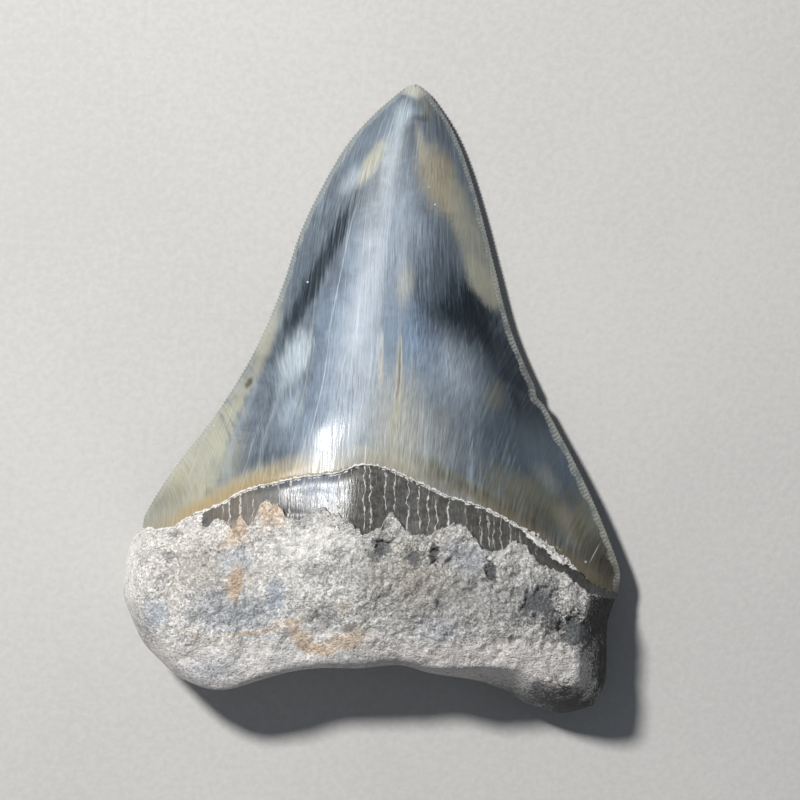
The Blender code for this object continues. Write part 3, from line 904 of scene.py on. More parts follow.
def useEffect(name, *values):
    # what an effect makes of these values: one output, or a list of them
    group = effects[name]
    count = sum(item.in_out == "OUTPUT" for item in group.interface.items_tree)
    made = results("ShaderNodeGroup", dict(enumerate(values)), *range(count), node_tree=group)
    return made if count > 1 else made[0]


def fibreStreaks(lines, width, length, stray, layer):
    # lines holds the place across and along a field of lines, in mm
    across, along, _ = parts(lines)
    bent = across + cloud(lines, 0.11) * stray
    here = together(bent / width, along / length, layer)
    return {"Streak": spread(cloud(here, 1.0, 3.0, 0.55), 0.28, 0.72, kind="LINEAR")}


def softPatch(place, centre, radii, lean, softness, fray, frayed, strength):
    # a stain: a soft ellipse with a frayed edge, leaning clockwise from the tooth's length
    offset = vectorMaths("SUBTRACT", place, centre)
    turned = result("ShaderNodeVectorRotate", {"Vector": offset, "Angle": lean}, rotation_type="Z_AXIS")
    ellipse = vectorMaths("DIVIDE", turned, radii)
    away = result("ShaderNodeVectorMath", {0: ellipse}, "Value", operation="LENGTH")
    fray = (fray - 0.5) * frayed
    mask = spread(away + fray, softness + 1.0, 1.0 - softness) * strength
    # the stain is thinner where the fray runs through it
    return {"Mask": maths("MULTIPLY", mask, 1.0 - fray * 0.35, clamp=True)}


def mineralGrain(place, size):
    # grains of chalky mineral, each with its own shade and tint, and the dark gaps between them, dark pores
    # with painted shade in them
    here = scaled(place, maths("DIVIDE", 1.0, size))
    strayed = vectorMaths("MULTIPLY_ADD", cloud(here, 1.1, name="Color"), (1.1, 1.1, 1.1), here)
    distance, tint = results("ShaderNodeTexVoronoi", {"Vector": strayed, "Scale": 1.0}, "Distance", "Color")
    shade, hue, _ = parts(tint)
    fine = cloud(here, 1.1, 4.0, 0.68)
    lumpy = cloud(here, 0.33, 3.0, 0.6)
    patchy = spread(cloud(here, 0.12, 3.0, 0.6), 0.42, 0.6, 0.3, 1.0)
    gaps = spread(fine * 0.65 + lumpy * 0.35, 0.49, 0.39) * patchy
    return {"Relief": fine + lumpy * 0.9 - distance * 0.3, "Gaps": gaps,
            "Mottle": cloud(here, 0.07, 5.0, 0.6, 0.3), "Fleck": shade, "Hue": hue}


def mineralSeam(place, border, width):
    # the pale seam along the enamel's lower edge; border is mm under the enamel edge
    under, _, _ = parts(border)
    x, _, _ = parts(place)
    centre, half = ridge["swellAt"]
    swell = spread(abs(x - centre), half, half / 2, 1.0, ridge["swellWidth"])
    uneven = spread(cloud(place, 0.9, 3.0, 0.65), 0.36, 0.66, 0.55, 1.7)
    away = abs(under - 0.04) / (width * swell * uneven)
    return {"Seam": spread(away, 1.15, 0.7) * spread(x, ridge["endsAt"] + 1.0, ridge["endsAt"] - 0.5)}


def edgeRim(growth, count, width):
    # the band of fine denticles along the cutting edge, as a mask and as their relief
    _, _, reach = parts(growth)
    away = reach / (width * spread(cloud(growth, 0.3, 3.0, 0.6), 0.3, 0.7, 0.7, 1.3))
    wave = 0.5 - maths("COSINE", count * (2 * math.pi)) * 0.5
    worn = spread(cloud(growth, 0.5), 0.35, 0.62, 0.2, 1.0)
    return {"Band": spread(away, 1.2, 0.8), "Denticles": wave * worn}


effects = {
    "streaks": makeEffect("fibreStreaks", ["Lines"], ["Width", "Length", "Stray", "Layer"], fibreStreaks),
    "patch": makeEffect("softPatch", ["Place", "Centre", "Radii"],
                        ["Lean", "Softness", "Fray", "Frayed", "Strength"], softPatch),
    "grain": makeEffect("mineralGrain", ["Place"], ["Size"], mineralGrain),
    "seam": makeEffect("mineralSeam", ["Place", "Border"], ["Width"], mineralSeam),
    "rim": makeEffect("edgeRim", ["Growth"], ["Count", "Width"], edgeRim),
}


def patchMask(place, centre, radii, lean, strength, softness, fray, frayed):
    return useEffect("patch", place, (*centre, 0), (*radii, 1), math.radians(lean), softness, fray, frayed,
                     strength)


def paintPatches(colour, finish, kind, place, fray, frayed, onFace):
    # lays each patch of one kind in a finish over the colour
    for name, *shape in finish[kind]:
        colour = blendColour(patchMask(place, *shape, fray, frayed) * onFace, colour, finish[name])
    return colour


# polished enamel of the crown
enamelFinish = {
    "slate": (0.150, 0.188, 0.228, 1),
    "pale": (0.37, 0.43, 0.50, 1),
    "deep": (0.062, 0.080, 0.100, 1),
    "navy": (0.018, 0.025, 0.033, 1),
    "blue": (0.205, 0.275, 0.375, 1),
    "white": (0.50, 0.57, 0.62, 1),
    "cream": (0.46, 0.455, 0.40, 1),
    "straw": (0.40, 0.395, 0.32, 1),
    "tan": (0.30, 0.268, 0.20, 1),
    "olive": (0.155, 0.155, 0.112, 1),
    "ochre": (0.35, 0.27, 0.148, 1),
    "dusk": (0.105, 0.125, 0.15, 1),
    "umber": (0.05, 0.044, 0.037, 1),
    "plum": (0.12, 0.10, 0.13, 1),
    "seam": (0.72, 0.71, 0.68, 1),
    "rim": (0.40, 0.41, 0.37, 1),
    # streaks in the enamel: width, length, how far they stray, and layer
    "hair": (0.24, 2.6, 0.5, 1.0),
    "fine": (0.5, 9.0, 1.0, 4.0),
    "wide": (2.2, 15.0, 2.0, 7.0),
    "thin": (0.34, 20.0, 0.6, 11.0),
    # between these heights the hair and fine streaks turn from the fibres to the lines of growth
    "growthFrom": (6.0, 20.0),
    # width of the cutting edge's band, left and right
    "rimWidth": (0.7, 1.15),
    # roughness of smooth and dull streaks: everywhere, and in the best polished strip
    "roughness": (0.24, 0.35),
    "polished": (0.14, 0.24),
    "polishedStrip": ((-9.2, -7.5), (2.6, 11.0), 12),
    "seamRoughness": 0.8,
    "rimRoughness": 0.45,
    "seamWidth": 0.28,
    # stains above the lower edge: mm over it where each ends and is full
    "strawRise": (5.5, 1.8),
    "ochreRise": (3.2, 0.9),
    # and their strength across the tooth: from x to x, and the strength at both
    "strawStrength": (12.0, 4.0, 0.1, 0.4),
    "ochreStrength": (-19.0, -8.0, 0.85, 0.22),
    "ochreCorner": (-41.0, -34.0, 0.25, 1.0),
    # how strongly the streaks darken and lighten the enamel, over its middle and past it
    "streakContrast": 0.52,
    "streakMiddle": (28.0, 16.0, 0.4, 1.0),
    "reliefDepth": 0.012,
    "shine": {"IOR": 1.45, "Specular IOR Level": 0.17},
    # a patch a line: colour, centre, half width and half length, lean, strength, softness
    "patches": [
        # blue under everything in the middle
        ("blue", (3.5, 9.0), (7.0, 15.0), -2, 0.55, 0.7),
        ("blue", (-8.5, 8.0), (5.5, 20.0), 12, 0.5, 0.7),
        # the pale middle
        ("pale", (-3.5, -3.8), (6.5, 12.5), 1, 0.4, 0.7),
        ("pale", (-1.0, 26.5), (5.0, 15.0), 6, 0.45, 0.7),
        # a painted highlight, moving the crown's highlight to the left
        ("pale", (-7.8, 9.0), (3.0, 10.0), 10, 0.5, 0.7),
        ("pale", (1.6, 25.0), (2.6, 8.0), 0, 0.35, 0.8),
        ("blue", (5.6, 11.5), (3.0, 5.0), -4, 0.6, 0.8),
        # painted shade, dimming the crown's highlight on its right
        ("slate", (-1.8, 15.5), (1.7, 7.0), 6, 0.4, 0.8),
        ("cream", (3.6, -6.5), (5.0, 8.5), -4, 0.78, 0.85),
        ("cream", (10.5, -9.0), (4.5, 6.0), -6, 0.25, 0.9),
        ("deep", (-15.5, -9.5), (4.0, 6.0), 0, 0.2, 0.8),
        ("blue", (-15.0, -8.5), (3.6, 7.0), 0, 0.25, 0.8),
        # the dark right side and its clouds
        ("deep", (26.0, -2.0), (11.0, 30.0), -26, 0.9, 0.5),
        ("slate", (11.0, -2.5), (7.5, 9.5), 0, 0.35, 0.5),
        ("deep", (10.5, 17.5), (6.0, 8.0), -34, 0.85, 0.55),
        ("navy", (14.0, 14.6), (4.8, 5.6), -29, 0.95, 0.5),
        ("navy", (22.6, 5.6), (3.0, 8.8), -30, 0.7, 0.5),
        ("navy", (27.5, -2.5), (3.0, 7.0), -28, 0.35, 0.6),
        ("slate", (30.5, -10.8), (3.7, 6.6), -34, 0.4, 0.6),
        ("dusk", (3.1, 24.6), (1.1, 3.7), 1, 0.45, 0.5),
        ("cream", (2.2, 19.5), (1.3, 3.8), 1, 0.5, 0.6),
        ("cream", (-1.3, 5.9), (0.55, 5.2), -4, 0.65, 0.5),
        ("white", (-1.9, 44.2), (1.7, 6.6), 8, 0.35, 0.6),
        ("deep", (-4.3, 38.1), (0.6, 2.8), 8, 0.5, 0.6),
        # top
        ("slate", (-7.2, 46.9), (3.2, 8.6), 28, 0.7, 0.4),
        ("dusk", (6.4, 46.6), (2.4, 5.2), -24, 0.7, 0.4),
        ("straw", (3.3, 45.8), (0.8, 3.4), -12, 0.5, 0.6),
        ("straw", (-5.6, 41.5), (1.2, 4.3), 26, 0.8, 0.5),
        ("white", (-9.2, 37.8), (1.2, 2.9), 31, 0.45, 0.8),
        ("dusk", (9.5, 29.5), (2.6, 6.0), -16, 0.45, 0.7),
        ("tan", (7.3, 38.9), (3.1, 6.6), -26, 0.9, 0.5),
        ("straw", (12.0, 33.5), (2.2, 6.0), -22, 0.45, 0.6),
        ("straw", (14.4, 27.0), (2.7, 8.6), -24, 0.6, 0.4),
        ("straw", (16.4, 21.0), (1.9, 5.2), -33, 0.7, 0.4),
        ("dusk", (10.6, 26.6), (0.8, 1.5), -4, 0.6, 0.6),
        ("cream", (1.5, 55.8), (2.1, 1.6), -4, 0.8, 0.3),
        ("umber", (3.4, 50.5), (1.1, 0.7), -4, 0.6, 0.6),
        ("white", (-0.2, 51.2), (1.5, 2.4), 6, 0.4, 0.5),
        ("olive", (3.7, 52.6), (1.2, 2.4), -24, 0.5, 0.5),
        # left side
        ("deep", (-15.4, 22.0), (3.6, 11.5), 19, 0.35, 0.6),
        ("navy", (-14.0, 20.4), (1.4, 13.5), 22, 0.85, 0.5),
        ("navy", (-18.8, 9.4), (1.7, 5.2), 18, 0.6, 0.5),
        ("deep", (-22.3, 4.6), (1.7, 3.2), 20, 0.6, 0.6),
        ("deep", (-19.5, -9.0), (4.5, 7.0), 12, 0.2, 0.8),
        ("slate", (-17.0, 4.0), (3.0, 5.0), 8, 0.5, 0.8),
        ("straw", (-22.4, 8.2), (1.3, 6.4), 15, 0.72, 0.7),
        ("straw", (-26.6, -2.6), (1.5, 5.0), 29, 0.6, 0.6),
        ("straw", (-33.2, -12.5), (3.6, 9.8), 38, 0.8, 0.35),
        ("straw", (-35.5, -20.5), (6.0, 6.6), 0, 0.85, 0.6),
        ("straw", (-29.5, -14.5), (3.4, 5.6), 36, 0.5, 0.7),
        ("tan", (-37.5, -22.5), (6.6, 5.0), 25, 0.35, 0.7),
        ("olive", (-38.0, -24.6), (6.6, 4.0), 25, 0.4, 0.7),
        ("umber", (-25.1, -0.3), (0.5, 1.0), 21, 0.75, 0.5),
        # stains over the lower edge
        ("ochre", (-21.7, -16.8), (1.1, 8.0), 66, 0.5, 0.8),
        ("ochre", (-29.6, -21.6), (1.1, 4.4), 58, 0.6, 0.8),
        ("umber", (-30.9, -21.1), (0.6, 0.9), -4, 0.4, 0.6),
        ("straw", (2.6, -12.5), (1.3, 8.5), -80, 0.35, 0.6),
        ("olive", (14.0, -15.6), (1.5, 9.5), -68, 0.6, 0.6),
        ("olive", (28.5, -18.6), (3.6, 9.6), -62, 0.75, 0.5),
        ("tan", (35.8, -22.6), (2.6, 4.1), -34, 0.55, 0.5),
        ("umber", (29.5, -21.8), (2.2, 6.5), -62, 0.4, 0.7),
        ("umber", (23.4, -20.4), (1.2, 10.5), -64, 0.7, 0.6),
        # the umber and olive at the lower right corner are a dark stain and painted shade where the enamel
        # turns from the light
        ("umber", (37.9, -30.4), (2.9, 8.4), -62, 0.95, 0.35),
        ("umber", (42.6, -30.2), (2.6, 4.0), -30, 0.9, 0.4),
        ("olive", (41.0, -24.5), (4.4, 8.0), -28, 0.8, 0.6),
        ("umber", (41.5, -28.0), (2.2, 5.0), -28, 0.6, 0.6),
        ("umber", (43.6, -31.0), (2.2, 3.0), -30, 1.0, 0.4),
        ("olive", (19.8, 0.3), (2.0, 2.4), -4, 0.55, 0.6),
        ("olive", (10.5, -3.8), (1.7, 2.3), -4, 0.3, 0.6),
        ("straw", (31.0, -14.5), (1.5, 3.2), -40, 0.25, 0.7),
    ],
    # stains and thin lines that follow the lines of growth
    "lines": [
        ("white", (-22.8, 4.2), (2.6, 4.4), 4, 0.62, 0.8),
        ("white", (-20.6, 6.2), (1.4, 3.4), 4, 0.45, 0.8),
        ("pale", (-21.0, -5.0), (2.4, 3.6), 4, 0.5, 0.9),
        ("pale", (12.8, 4.0), (5.5, 5.5), 0, 0.45, 0.9),
        ("white", (-14.1, 20.2), (0.13, 10.6), 9, 0.5, 0.6),
        ("straw", (-19.1, 1.8), (0.15, 14.5), -2.7, 0.45, 0.6),
        ("white", (-15.4, 4.0), (0.12, 12.8), 0, 0.35, 0.7),
        ("straw", (0.2, -0.5), (0.75, 10.5), 0, 0.75, 0.5),
        ("plum", (0.1, 2.0), (0.22, 5.5), 0, 0.55, 0.6),
        ("white", (-3.7, 9.0), (0.35, 2.6), 0, 0.4, 0.6),
        ("white", (-24.5, -6.0), (0.14, 6.5), 0, 0.2, 0.6),
    ],
    # marks that lie over everything else
    "scratches": [
        ("seam", (40.3, -27.4), (0.09, 1.75), 26, 0.6, 0.5),
        ("seam", (-2.8, -11.6), (0.1, 1.8), 0, 0.7, 0.5),
        ("seam", (38.8, -28.8), (0.22, 0.2), 0, 0.9, 0.4),
        ("seam", (-15.7, 18.9), (0.17, 0.17), 0, 0.9, 0.4),
        ("seam", (6.7, 34.7), (0.15, 0.15), 0, 0.9, 0.4),
        ("seam", (5.4, 37.9), (0.12, 0.12), 0, 0.7, 0.4),
    ],
}


def makeEnamel():
    finish = enamelFinish
    material, tree = newMaterial("polishedEnamel")
    place, growth, fibre = toothPlace(tree, 0), attribute(tree, "growth"), attribute(tree, "fibres")
    border, count = attribute(tree, "borders"), attribute(tree, "denticle", "Fac")
    x, y, _ = parts(place)
    across, along, _ = parts(growth)
    under, _, upward = parts(border)
    face = maths("GREATER_THAN", upward, 0.0)
    # above the middle of the crown the fibres follow the lines of growth
    above = spread(y, *finish["growthFrom"])
    hair, fine = (blendValue(above, useEffect("streaks", fibre, *finish[kind]),
                             useEffect("streaks", growth, *finish[kind])) for kind in ("hair", "fine"))
    wide, thin = (useEffect("streaks", growth, *finish[kind]) for kind in ("wide", "thin"))
    mottle = cloud(place, 0.17, 5.0, 0.62, 0.7)
    # the body of the colour, cloudy and drawn out in streaks
    colour = blendColour(spread(mottle, 0.36, 0.64), finish["slate"], finish["dusk"])
    colour = blendColour(spread(wide, 0.45, 1.0) * 0.3, colour, finish["pale"])
    # patches with edges frayed along the streaks
    fray = fine * 0.28 + hair * 0.12 + wide * 0.15 + mottle * 0.45
    colour = paintPatches(colour, finish, "patches", place, fray, 2.2, face)
    colour = paintPatches(colour, finish, "lines", together(across, along), fine, 1.3, face)
    # stains just above the enamel's lower edge; the ochre is strongest on the left and fades at the corner
    ragged = (fray - 0.5) * 5.0 + under
    far, near = finish["strawRise"]
    straw = spread(ragged, -far, -near) * spread(x, *finish["strawStrength"])
    colour = blendColour(straw, colour, finish["straw"])
    far, near = finish["ochreRise"]
    ochre = spread(ragged, -far, -near) * spread(x, *finish["ochreStrength"])
    colour = blendColour(ochre * spread(x, *finish["ochreCorner"]), colour, finish["ochre"])
    # the streaks show most over the middle: hair-fine ones, and a few long pale ones
    lively = spread(abs(across + 4.0), *finish["streakMiddle"])
    tone = hair + fine * 0.9 - 0.95 + spread(thin, 0.62, 0.92) * 0.9
    colour = scaled(colour, tone * lively * finish["streakContrast"] + 1.0)
    colour = paintPatches(colour, finish, "scratches", place, hair, 0.4, face)
    # cutting edge and mineral seam
    band, denticles = useEffect("rim", growth, count, spread(x, 16.0, 34.0, *finish["rimWidth"]))
    beads = band * denticles
    colour = blendColour(beads * 0.55 + band * 0.22, colour, finish["rim"])
    seam = useEffect("seam", place, border, finish["seamWidth"])
    colour = blendColour(seam, colour, finish["seam"])
    worn = fine * 0.5 + hair * 0.5
    dull, shiny = (spread(worn, 0.2, 0.8, *finish[kind], kind="LINEAR")
                   for kind in ("roughness", "polished"))
    strip = patchMask(place, *finish["polishedStrip"], 1.0, 0.4, fine, 0.8)
    roughness = maths("MAXIMUM", blendValue(strip * face, dull, shiny), seam * finish["seamRoughness"])
    roughness = maths("MAXIMUM", roughness, band * finish["rimRoughness"])
    height = hair * 0.5 + fine * 0.8 + beads * 5.0 + seam * 6.0
    return dress(material, colour, roughness, height, finish["reliefDepth"], finish["shine"])


# dark bare band under the enamel
bandFinish = {
    "dark": (0.135, 0.13, 0.118, 1),
    "brown": (0.16, 0.135, 0.108, 1),
    "black": (0.062, 0.06, 0.056, 1),
    "slate": (0.15, 0.175, 0.215, 1),
    # near black: painted shadow, here and in the crust
    "shadowAndSoot": (0.012, 0.012, 0.012, 1),
    # pale blue: a painted highlight on the band left of the middle
    "blue": (0.26, 0.30, 0.37, 1),
    "seam": (0.72, 0.71, 0.68, 1),
    "vein": (0.60, 0.585, 0.55, 1),
    "veinWidth": 0.11,
    "seamWidth": 0.28,
    "roughness": (0.2, 0.36),
    "veinRoughness": 0.75,
    # the band is duller on the left: from x to x, and the roughness added at both
    "dullTo": (-20.0, -14.5, 0.22, 0.0),
    # each plate between two veins has a tone of its own
    "plateTone": 0.12,
    "scratch": (0.3, 2.5, 0.8, 8.0),
    "reliefDepth": 0.09,
    "shine": {"IOR": 1.5, "Specular IOR Level": 0.42},
    "patches": [
        ("brown", (-26.0, -23.0), (4.0, 7.5), -62, 0.9, 0.4),
        # the slate and blue patches left of the middle are a painted highlight over the band's own bluish
        # tone
        ("slate", (-12.0, -19.0), (5.5, 4.0), 0, 0.6, 0.5),
        ("blue", (-10.5, -18.8), (4.0, 2.6), 0, 0.8, 0.6),
        ("black", (19.5, -25.0), (4.0, 7.0), -60, 0.45, 0.5),
        ("black", (31.0, -28.6), (2.4, 6.0), -60, 0.7, 0.6),
        # painted shadow on the band's right end, which faces up but lies in shade
        ("shadowAndSoot", (40.5, -33.6), (3.2, 7.0), -62, 1.0, 0.4),
    ],
}


def makeBareBand():
    finish = bandFinish
    material, tree = newMaterial("darkBand")
    place, border = toothPlace(tree, 0), attribute(tree, "borders")
    x, _, _ = parts(place)
    fine = useEffect("streaks", place, *finish["scratch"])
    mottle = cloud(place, 0.9, 4.0, 0.65)
    colour = blendColour(spread(mottle, 0.36, 0.64), finish["black"], finish["dark"])
    colour = paintPatches(colour, finish, "patches", place, mottle, 1.0, 1.0)
    colour = blendColour(spread(fine, 0.6, 0.15) * 0.6, colour, finish["black"])
    colour = blendColour(spread(fine, 0.72, 0.95) * 0.22, colour, finish["vein"])
    # the veins wander sideways; each is a whole number, and the plates lie between them
    count, bright, spacing = parts(attribute(tree, "cracks"))
    wander = (cloud(place, 0.42) - 0.5) * 1.5 + (cloud(place, 1.7) - 0.5) * 0.35
    at = count + wander / spacing
    tone = result("ShaderNodeTexWhiteNoise", {"W": maths("FLOOR", at)}, noise_dimensions="1D")
    colour = blendColour(tone * finish["plateTone"], colour, finish["slate"])
    off = abs(at - maths("ROUND", at)) * spacing
    width = spread(cloud(place, 0.75, 3.0, 0.6), 0.38, 0.68, 0.45, 2.2) * finish["veinWidth"]
    broken = spread(cloud(place, 0.6), 0.33, 0.5, 0.35, 1.0)
    vein = spread(off / width, 1.2, 0.5) * bright * broken
    colour = blendColour(vein, colour, finish["vein"])
    seam = useEffect("seam", place, border, finish["seamWidth"])
    colour = blendColour(seam, colour, finish["seam"])
    mineral = maths("MAXIMUM", seam, vein)
    roughness = spread(mottle * 0.6 + tone * 0.4, 0.3, 0.75, *finish["roughness"], kind="LINEAR")
    roughness = maths("MAXIMUM", roughness + spread(x, *finish["dullTo"]), mineral * finish["veinRoughness"])
    height = fine * 0.32 + mottle * 0.25 + mineral
    return dress(material, colour, roughness, height, finish["reliefDepth"], finish["shine"])


# rough mineral crust of the root
crustFinish = {
    "chalk": (0.58, 0.563, 0.537, 1),
    "bone": (0.97, 0.95, 0.92, 1),
    "grey": (0.34, 0.345, 0.345, 1),
    "blue": (0.49, 0.535, 0.60, 1),
    "ash": (0.17, 0.18, 0.19, 1),
    "orange": (0.74, 0.51, 0.31, 1),
    "sand": (0.60, 0.51, 0.39, 1),
    # near white: the base's pale colour, made paler as painted light
    "pink": (0.95, 0.89, 0.865, 1),
    "gap": (0.13, 0.122, 0.115, 1),
    # near black: painted shade on the flank, and the hollows' own dark with their shade
    "shadowAndSoot": (0.03, 0.031, 0.034, 1),
    # dark grey: painted shade on the base face under the right lobe
    "slate": (0.07, 0.071, 0.075, 1),
    "grainSize": 0.36,
    "gapShade": 0.75,
    "reliefDepth": 0.38,
    # the relief is coarser on the right: from x to x, and its share at both
    "coarser": (-14.0, 8.0, 1.0, 1.7),
    "roughness": (0.2, 0.9, 0.6, 0.9),
    # a patch a line: colour, centre, half width and half length, lean, strength, softness
    "patches": [
        ("sand", (-31.0, -34.0), (8.0, 6.0), 0, 0.3, 0.8),
        ("grey", (-30.0, -35.0), (6.0, 5.0), 0, 0.3, 0.8),
        ("bone", (-9.0, -31.0), (7.0, 5.0), 0, 0.75, 0.8),
        # the pink along the base: its pale colour, made paler as painted light where the base edge turns
        # from the lamp
        ("pink", (-30.0, -54.0), (3.4, 10.0), -75, 0.8, 0.6),
        ("pink", (-12.0, -51.0), (2.6, 13.0), -85, 0.9, 0.6),
        ("bone", (-45.0, -38.0), (1.8, 9.0), 0, 0.7, 0.6),
        ("pink", (20.0, -48.0), (17.0, 5.0), 0, 0.85, 0.6),
        ("bone", (24.0, -33.0), (11.0, 4.0), -30, 0.5, 0.8),
        # grey over the right part: its own grey, with painted shade for its rougher crust
        ("grey", (14.0, -35.5), (17.0, 6.5), 0, 0.55, 0.7),
        ("ash", (30.0, -38.5), (6.0, 6.0), 30, 0.2, 0.8),
        ("blue", (-24.4, -32.5), (2.8, 2.6), 0, 0.7, 0.6),
        ("blue", (-17.3, -38.8), (1.8, 3.1), 8, 0.9, 0.35),
        ("blue", (-38.8, -43.5), (2.1, 2.4), 10, 0.8, 0.5),
        ("ash", (-40.5, -46.0), (1.6, 2.4), -20, 0.3, 0.6),
        ("blue", (-24.5, -42.0), (7.0, 3.6), 0, 0.65, 0.6),
        ("ash", (-25.5, -41.0), (5.0, 2.2), 0, 0.3, 0.8),
        ("ash", (-7.7, -42.2), (3.0, 3.0), 0, 0.45, 0.6),
        ("ash", (-14.3, -44.8), (1.8, 1.4), 0, 0.45, 0.6),
        ("blue", (-27.8, -52.9), (2.0, 5.6), 82, 0.6, 0.6),
        ("blue", (-4.0, -49.0), (1.2, 3.0), -75, 0.5, 0.6),
        ("ash", (-36.5, -28.6), (1.2, 0.8), 0, 0.6, 0.5),
        ("ash", (-36.9, -33.0), (1.3, 1.0), 0, 0.6, 0.6),
        ("ash", (-5.9, -30.5), (1.9, 1.3), 0, 0.25, 0.7),
        ("grey", (-10.0, -33.5), (3.2, 1.8), 0, 0.6, 0.7),
        # bone low on the root: its pale colour, and painted light where the surface turns from the lamp
        ("bone", (-8.0, -46.5), (6.5, 2.6), 0, 0.85, 0.6),
        ("bone", (-14.0, -50.5), (11.0, 2.4), -3, 0.7, 0.7),
        ("orange", (-19.1, -23.6), (2.4, 2.6), 10, 0.6, 0.6),
        ("orange", (-24.9, -27.1), (1.6, 3.3), 22, 0.6, 0.6),
        ("orange", (-24.5, -36.6), (1.2, 3.4), 6, 0.65, 0.6),
        ("sand", (-22.2, -35.6), (0.6, 1.1), -20, 0.5, 0.5),
        ("orange", (-11.9, -45.8), (1.5, 3.1), -50, 0.6, 0.6),
        ("orange", (-4.6, -46.2), (1.5, 4.2), 72, 0.6, 0.6),
        ("orange", (-8.6, -47.6), (1.0, 2.6), -80, 0.45, 0.6),
        ("sand", (-4.9, -39.6), (1.2, 1.0), 0, 0.6, 0.5),
        ("sand", (-2.2, -43.8), (1.4, 1.2), 0, 0.6, 0.5),
        ("orange", (-21.5, -45.6), (0.35, 4.8), 80, 0.5, 0.7),
        ("orange", (-14.9, -43.3), (0.45, 2.6), 78, 0.55, 0.7),
        ("sand", (-30.5, -47.0), (0.5, 3.5), -70, 0.4, 0.7),
        ("sand", (8.0, -33.0), (7.0, 5.0), 0, 0.3, 0.8),
        ("blue", (13.0, -43.0), (4.0, 2.2), 0, 0.45, 0.7),
        ("blue", (16.7, -29.3), (3.6, 2.8), 0, 0.5, 0.5),
        # dark hollows, their own dark with painted shade in them, and painted shade on the right flank and
        # the base face, which turn away from the light
        ("shadowAndSoot", (0.9, -28.9), (1.0, 1.9), -15, 0.85, 0.5),
        ("ash", (7.5, -30.1), (1.8, 1.6), 0, 0.6, 0.6),
        ("shadowAndSoot", (10.9, -28.7), (0.8, 2.1), 0, 0.85, 0.5),
        ("shadowAndSoot", (21.3, -31.7), (1.0, 2.4), -8, 0.9, 0.5),
        ("ash", (30.5, -36.2), (4.0, 2.4), -40, 0.8, 0.5),
        ("shadowAndSoot", (33.0, -39.5), (1.6, 3.0), -10, 0.75, 0.6),
        ("shadowAndSoot", (38.6, -41.6), (2.4, 4.0), -38, 0.85, 0.5),
        ("shadowAndSoot", (42.6, -38.2), (3.4, 4.6), 0, 1.0, 0.3),
        ("shadowAndSoot", (44.0, -46.0), (2.8, 11.0), 0, 1.0, 0.4),
        ("slate", (38.5, -55.9), (8.8, 4.0), 12, 1.0, 0.5),
        ("ash", (28.0, -54.6), (7.0, 2.0), 12, 0.7, 0.7),
    ],
    # how dark the hollows are painted: their own dark and painted shade
    "hollowShade": 0.8,
    # mm in from the outline, on the underside, where the patches are gone and where they are whole
    "patchesFade": (6.5, 3.0),
}


def makeCrust():
    finish = crustFinish
    material, tree = newMaterial("mineralCrust")
    place, solid = toothPlace(tree, 0), toothPlace(tree, 1)
    x, _, _ = parts(place)
    _, _, upward = parts(attribute(tree, "borders"))
    _, _, reach = parts(attribute(tree, "growth"))
    relief, gaps, mottle, fleck, hue = useEffect("grain", solid, finish["grainSize"])
    colour = blendColour(fleck, finish["chalk"], finish["bone"])
    for amount, name in ((spread(hue, 0.75, 0.9) * 0.3, "sand"), (spread(hue, 0.22, 0.1) * 0.35, "blue"),
                         (spread(mottle, 0.54, 0.66) * 0.45, "grey")):
        colour = blendColour(amount, colour, finish[name])
    # the patches run on round the flanks and fade out underneath
    fray = cloud(solid, 0.3, 5.0, 0.62, 0.3) * 0.7 + fleck * 0.3
    face = maths("MAXIMUM", maths("GREATER_THAN", upward, 0.0),
                 spread(fray * 4.0 + reach, *finish["patchesFade"]))
    colour = paintPatches(colour, finish, "patches", place, fray, 2.0, face)
    # the hollows are darkened with ash by their depth: their own dark and painted shade in the recesses
    hollow = spread(attribute(tree, "hollow", "Fac"), 0.25, 1.2) * finish["hollowShade"]
    colour = blendColour(hollow, colour, finish["ash"])
    # each grain keeps some of its own shade inside the patches
    colour = scaled(colour, spread(fleck, 0.0, 1.0, 0.8, 1.12, kind="LINEAR"))
    # the gaps darken: dark pores and painted shade between the grains
    colour = blendColour(gaps * finish["gapShade"], colour, finish["gap"])
    roughness, height = spread(fleck, *finish["roughness"]), relief * spread(x, *finish["coarser"])
    return dress(material, colour, roughness, height, finish["reliefDepth"], {})


fossil = buildTooth()
for finish in (makeEnamel(), makeBareBand(), makeCrust()):
    fossil.data.materials.append(finish)
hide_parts(tooth["node"])
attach(fossil, "root")
print("tooth finished")

# pale table
table = {
    "size": 3.0,
    "below": 0.0002,
    "light": (0.60, 0.59, 0.575, 1),
    "shade": (0.54, 0.535, 0.525, 1),
    "roughness": (0.3, 0.7, 0.7, 0.85),
    "reliefDepth": 0.06,
}


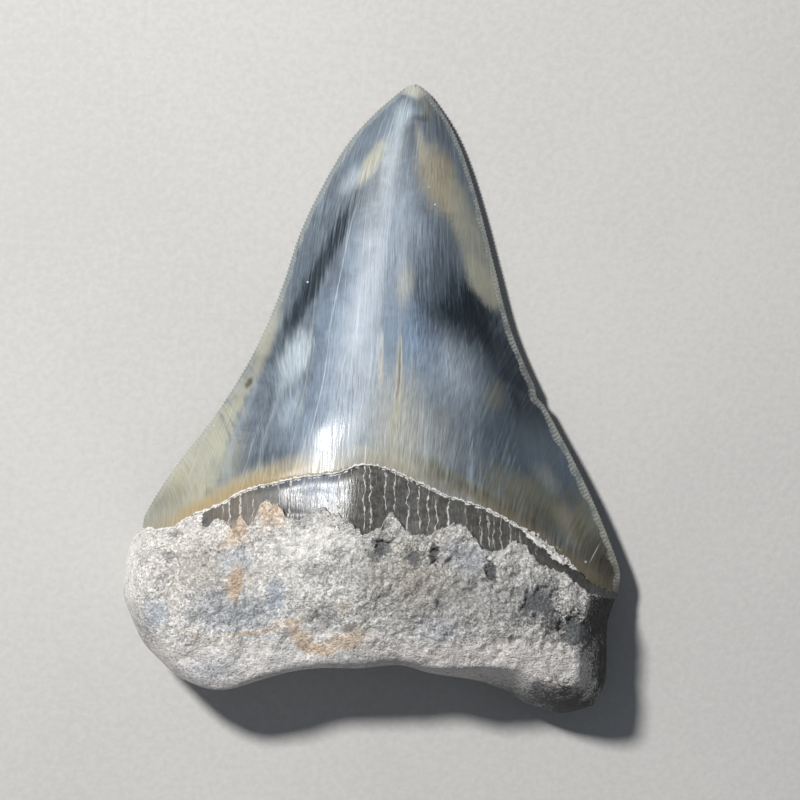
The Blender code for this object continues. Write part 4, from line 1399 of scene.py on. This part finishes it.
def makeTable():
    material, tree = newMaterial("paleTable")
    solid = toothPlace(tree, 1)
    speckle = cloud(solid, 0.9, 4.0, 0.6)
    tone = speckle * 0.5 + cloud(solid, 0.012) * 0.5
    colour = blendColour(spread(tone, 0.35, 0.65), table["light"], table["shade"])
    dress(material, colour, spread(speckle, *table["roughness"]), speckle, table["reliefDepth"], {})
    half = table["size"] / 2
    sheet = bpy.data.meshes.new("table")
    corners = [(-half, -half), (half, -half), (half, half), (-half, half)]
    sheet.from_pydata([(x, y, -table["below"]) for x, y in corners], [], [(0, 1, 2, 3)])
    top = bpy.data.objects.new("table", sheet)
    top.data.materials.append(material)
    bpy.context.scene.collection.objects.link(top)
    print("table laid")


makeTable()

# light and camera
studio = {
    # direction, distance and size in metres, power and colour of each light
    "keyLight": ((-0.46, 0.38, 0.79), 0.75, 0.1, 6.8, (1.0, 0.985, 0.96)),
    "fillLight": ((0.6, -0.5, 0.9), 1.2, 1.2, 0.2, (1.0, 1.0, 1.0)),
    "sky": (0.80, 0.88, 1.0, 1),
    "skyStrength": 0.14,
}

viewpoint = {
    "over": (2.8, -1.6),
    "away": 900.0,
    "level": 6.0,
    "wide": 147.3,
    "turn": 4.0,
    "sensor": 36.0,
}


def hangLight(name, toward, away, size, power, colour):
    lamp = bpy.data.lights.new(name, "AREA")
    lamp.shape = "DISK"
    lamp.size, lamp.energy, lamp.color = size, power, colour
    held = bpy.data.objects.new(name, lamp)
    held.location = Vector(toward).normalized() * away
    held.rotation_euler = held.location.to_track_quat("Z", "Y").to_euler()
    bpy.context.scene.collection.objects.link(held)


for name in ("keyLight", "fillLight"):
    hangLight(name, *studio[name])
sky = bpy.data.worlds.new("studioSky")
sky.use_nodes = True
background = sky.node_tree.nodes["Background"].inputs
background["Color"].default_value = studio["sky"]
background["Strength"].default_value = studio["skyStrength"]
bpy.context.scene.world = sky
bpy.context.scene.view_settings.view_transform = "Standard"

camera = bpy.data.objects.new("camera", bpy.data.cameras.new("camera"))
camera.data.sensor_width = viewpoint["sensor"]
camera.data.lens = viewpoint["sensor"] * viewpoint["away"] / viewpoint["wide"]
camera.location = Vector((*viewpoint["over"], viewpoint["away"] + viewpoint["level"])) * mm
camera.rotation_euler = (0, 0, math.radians(viewpoint["turn"]))
bpy.context.scene.collection.objects.link(camera)
bpy.context.scene.camera = camera
print("light and camera set")
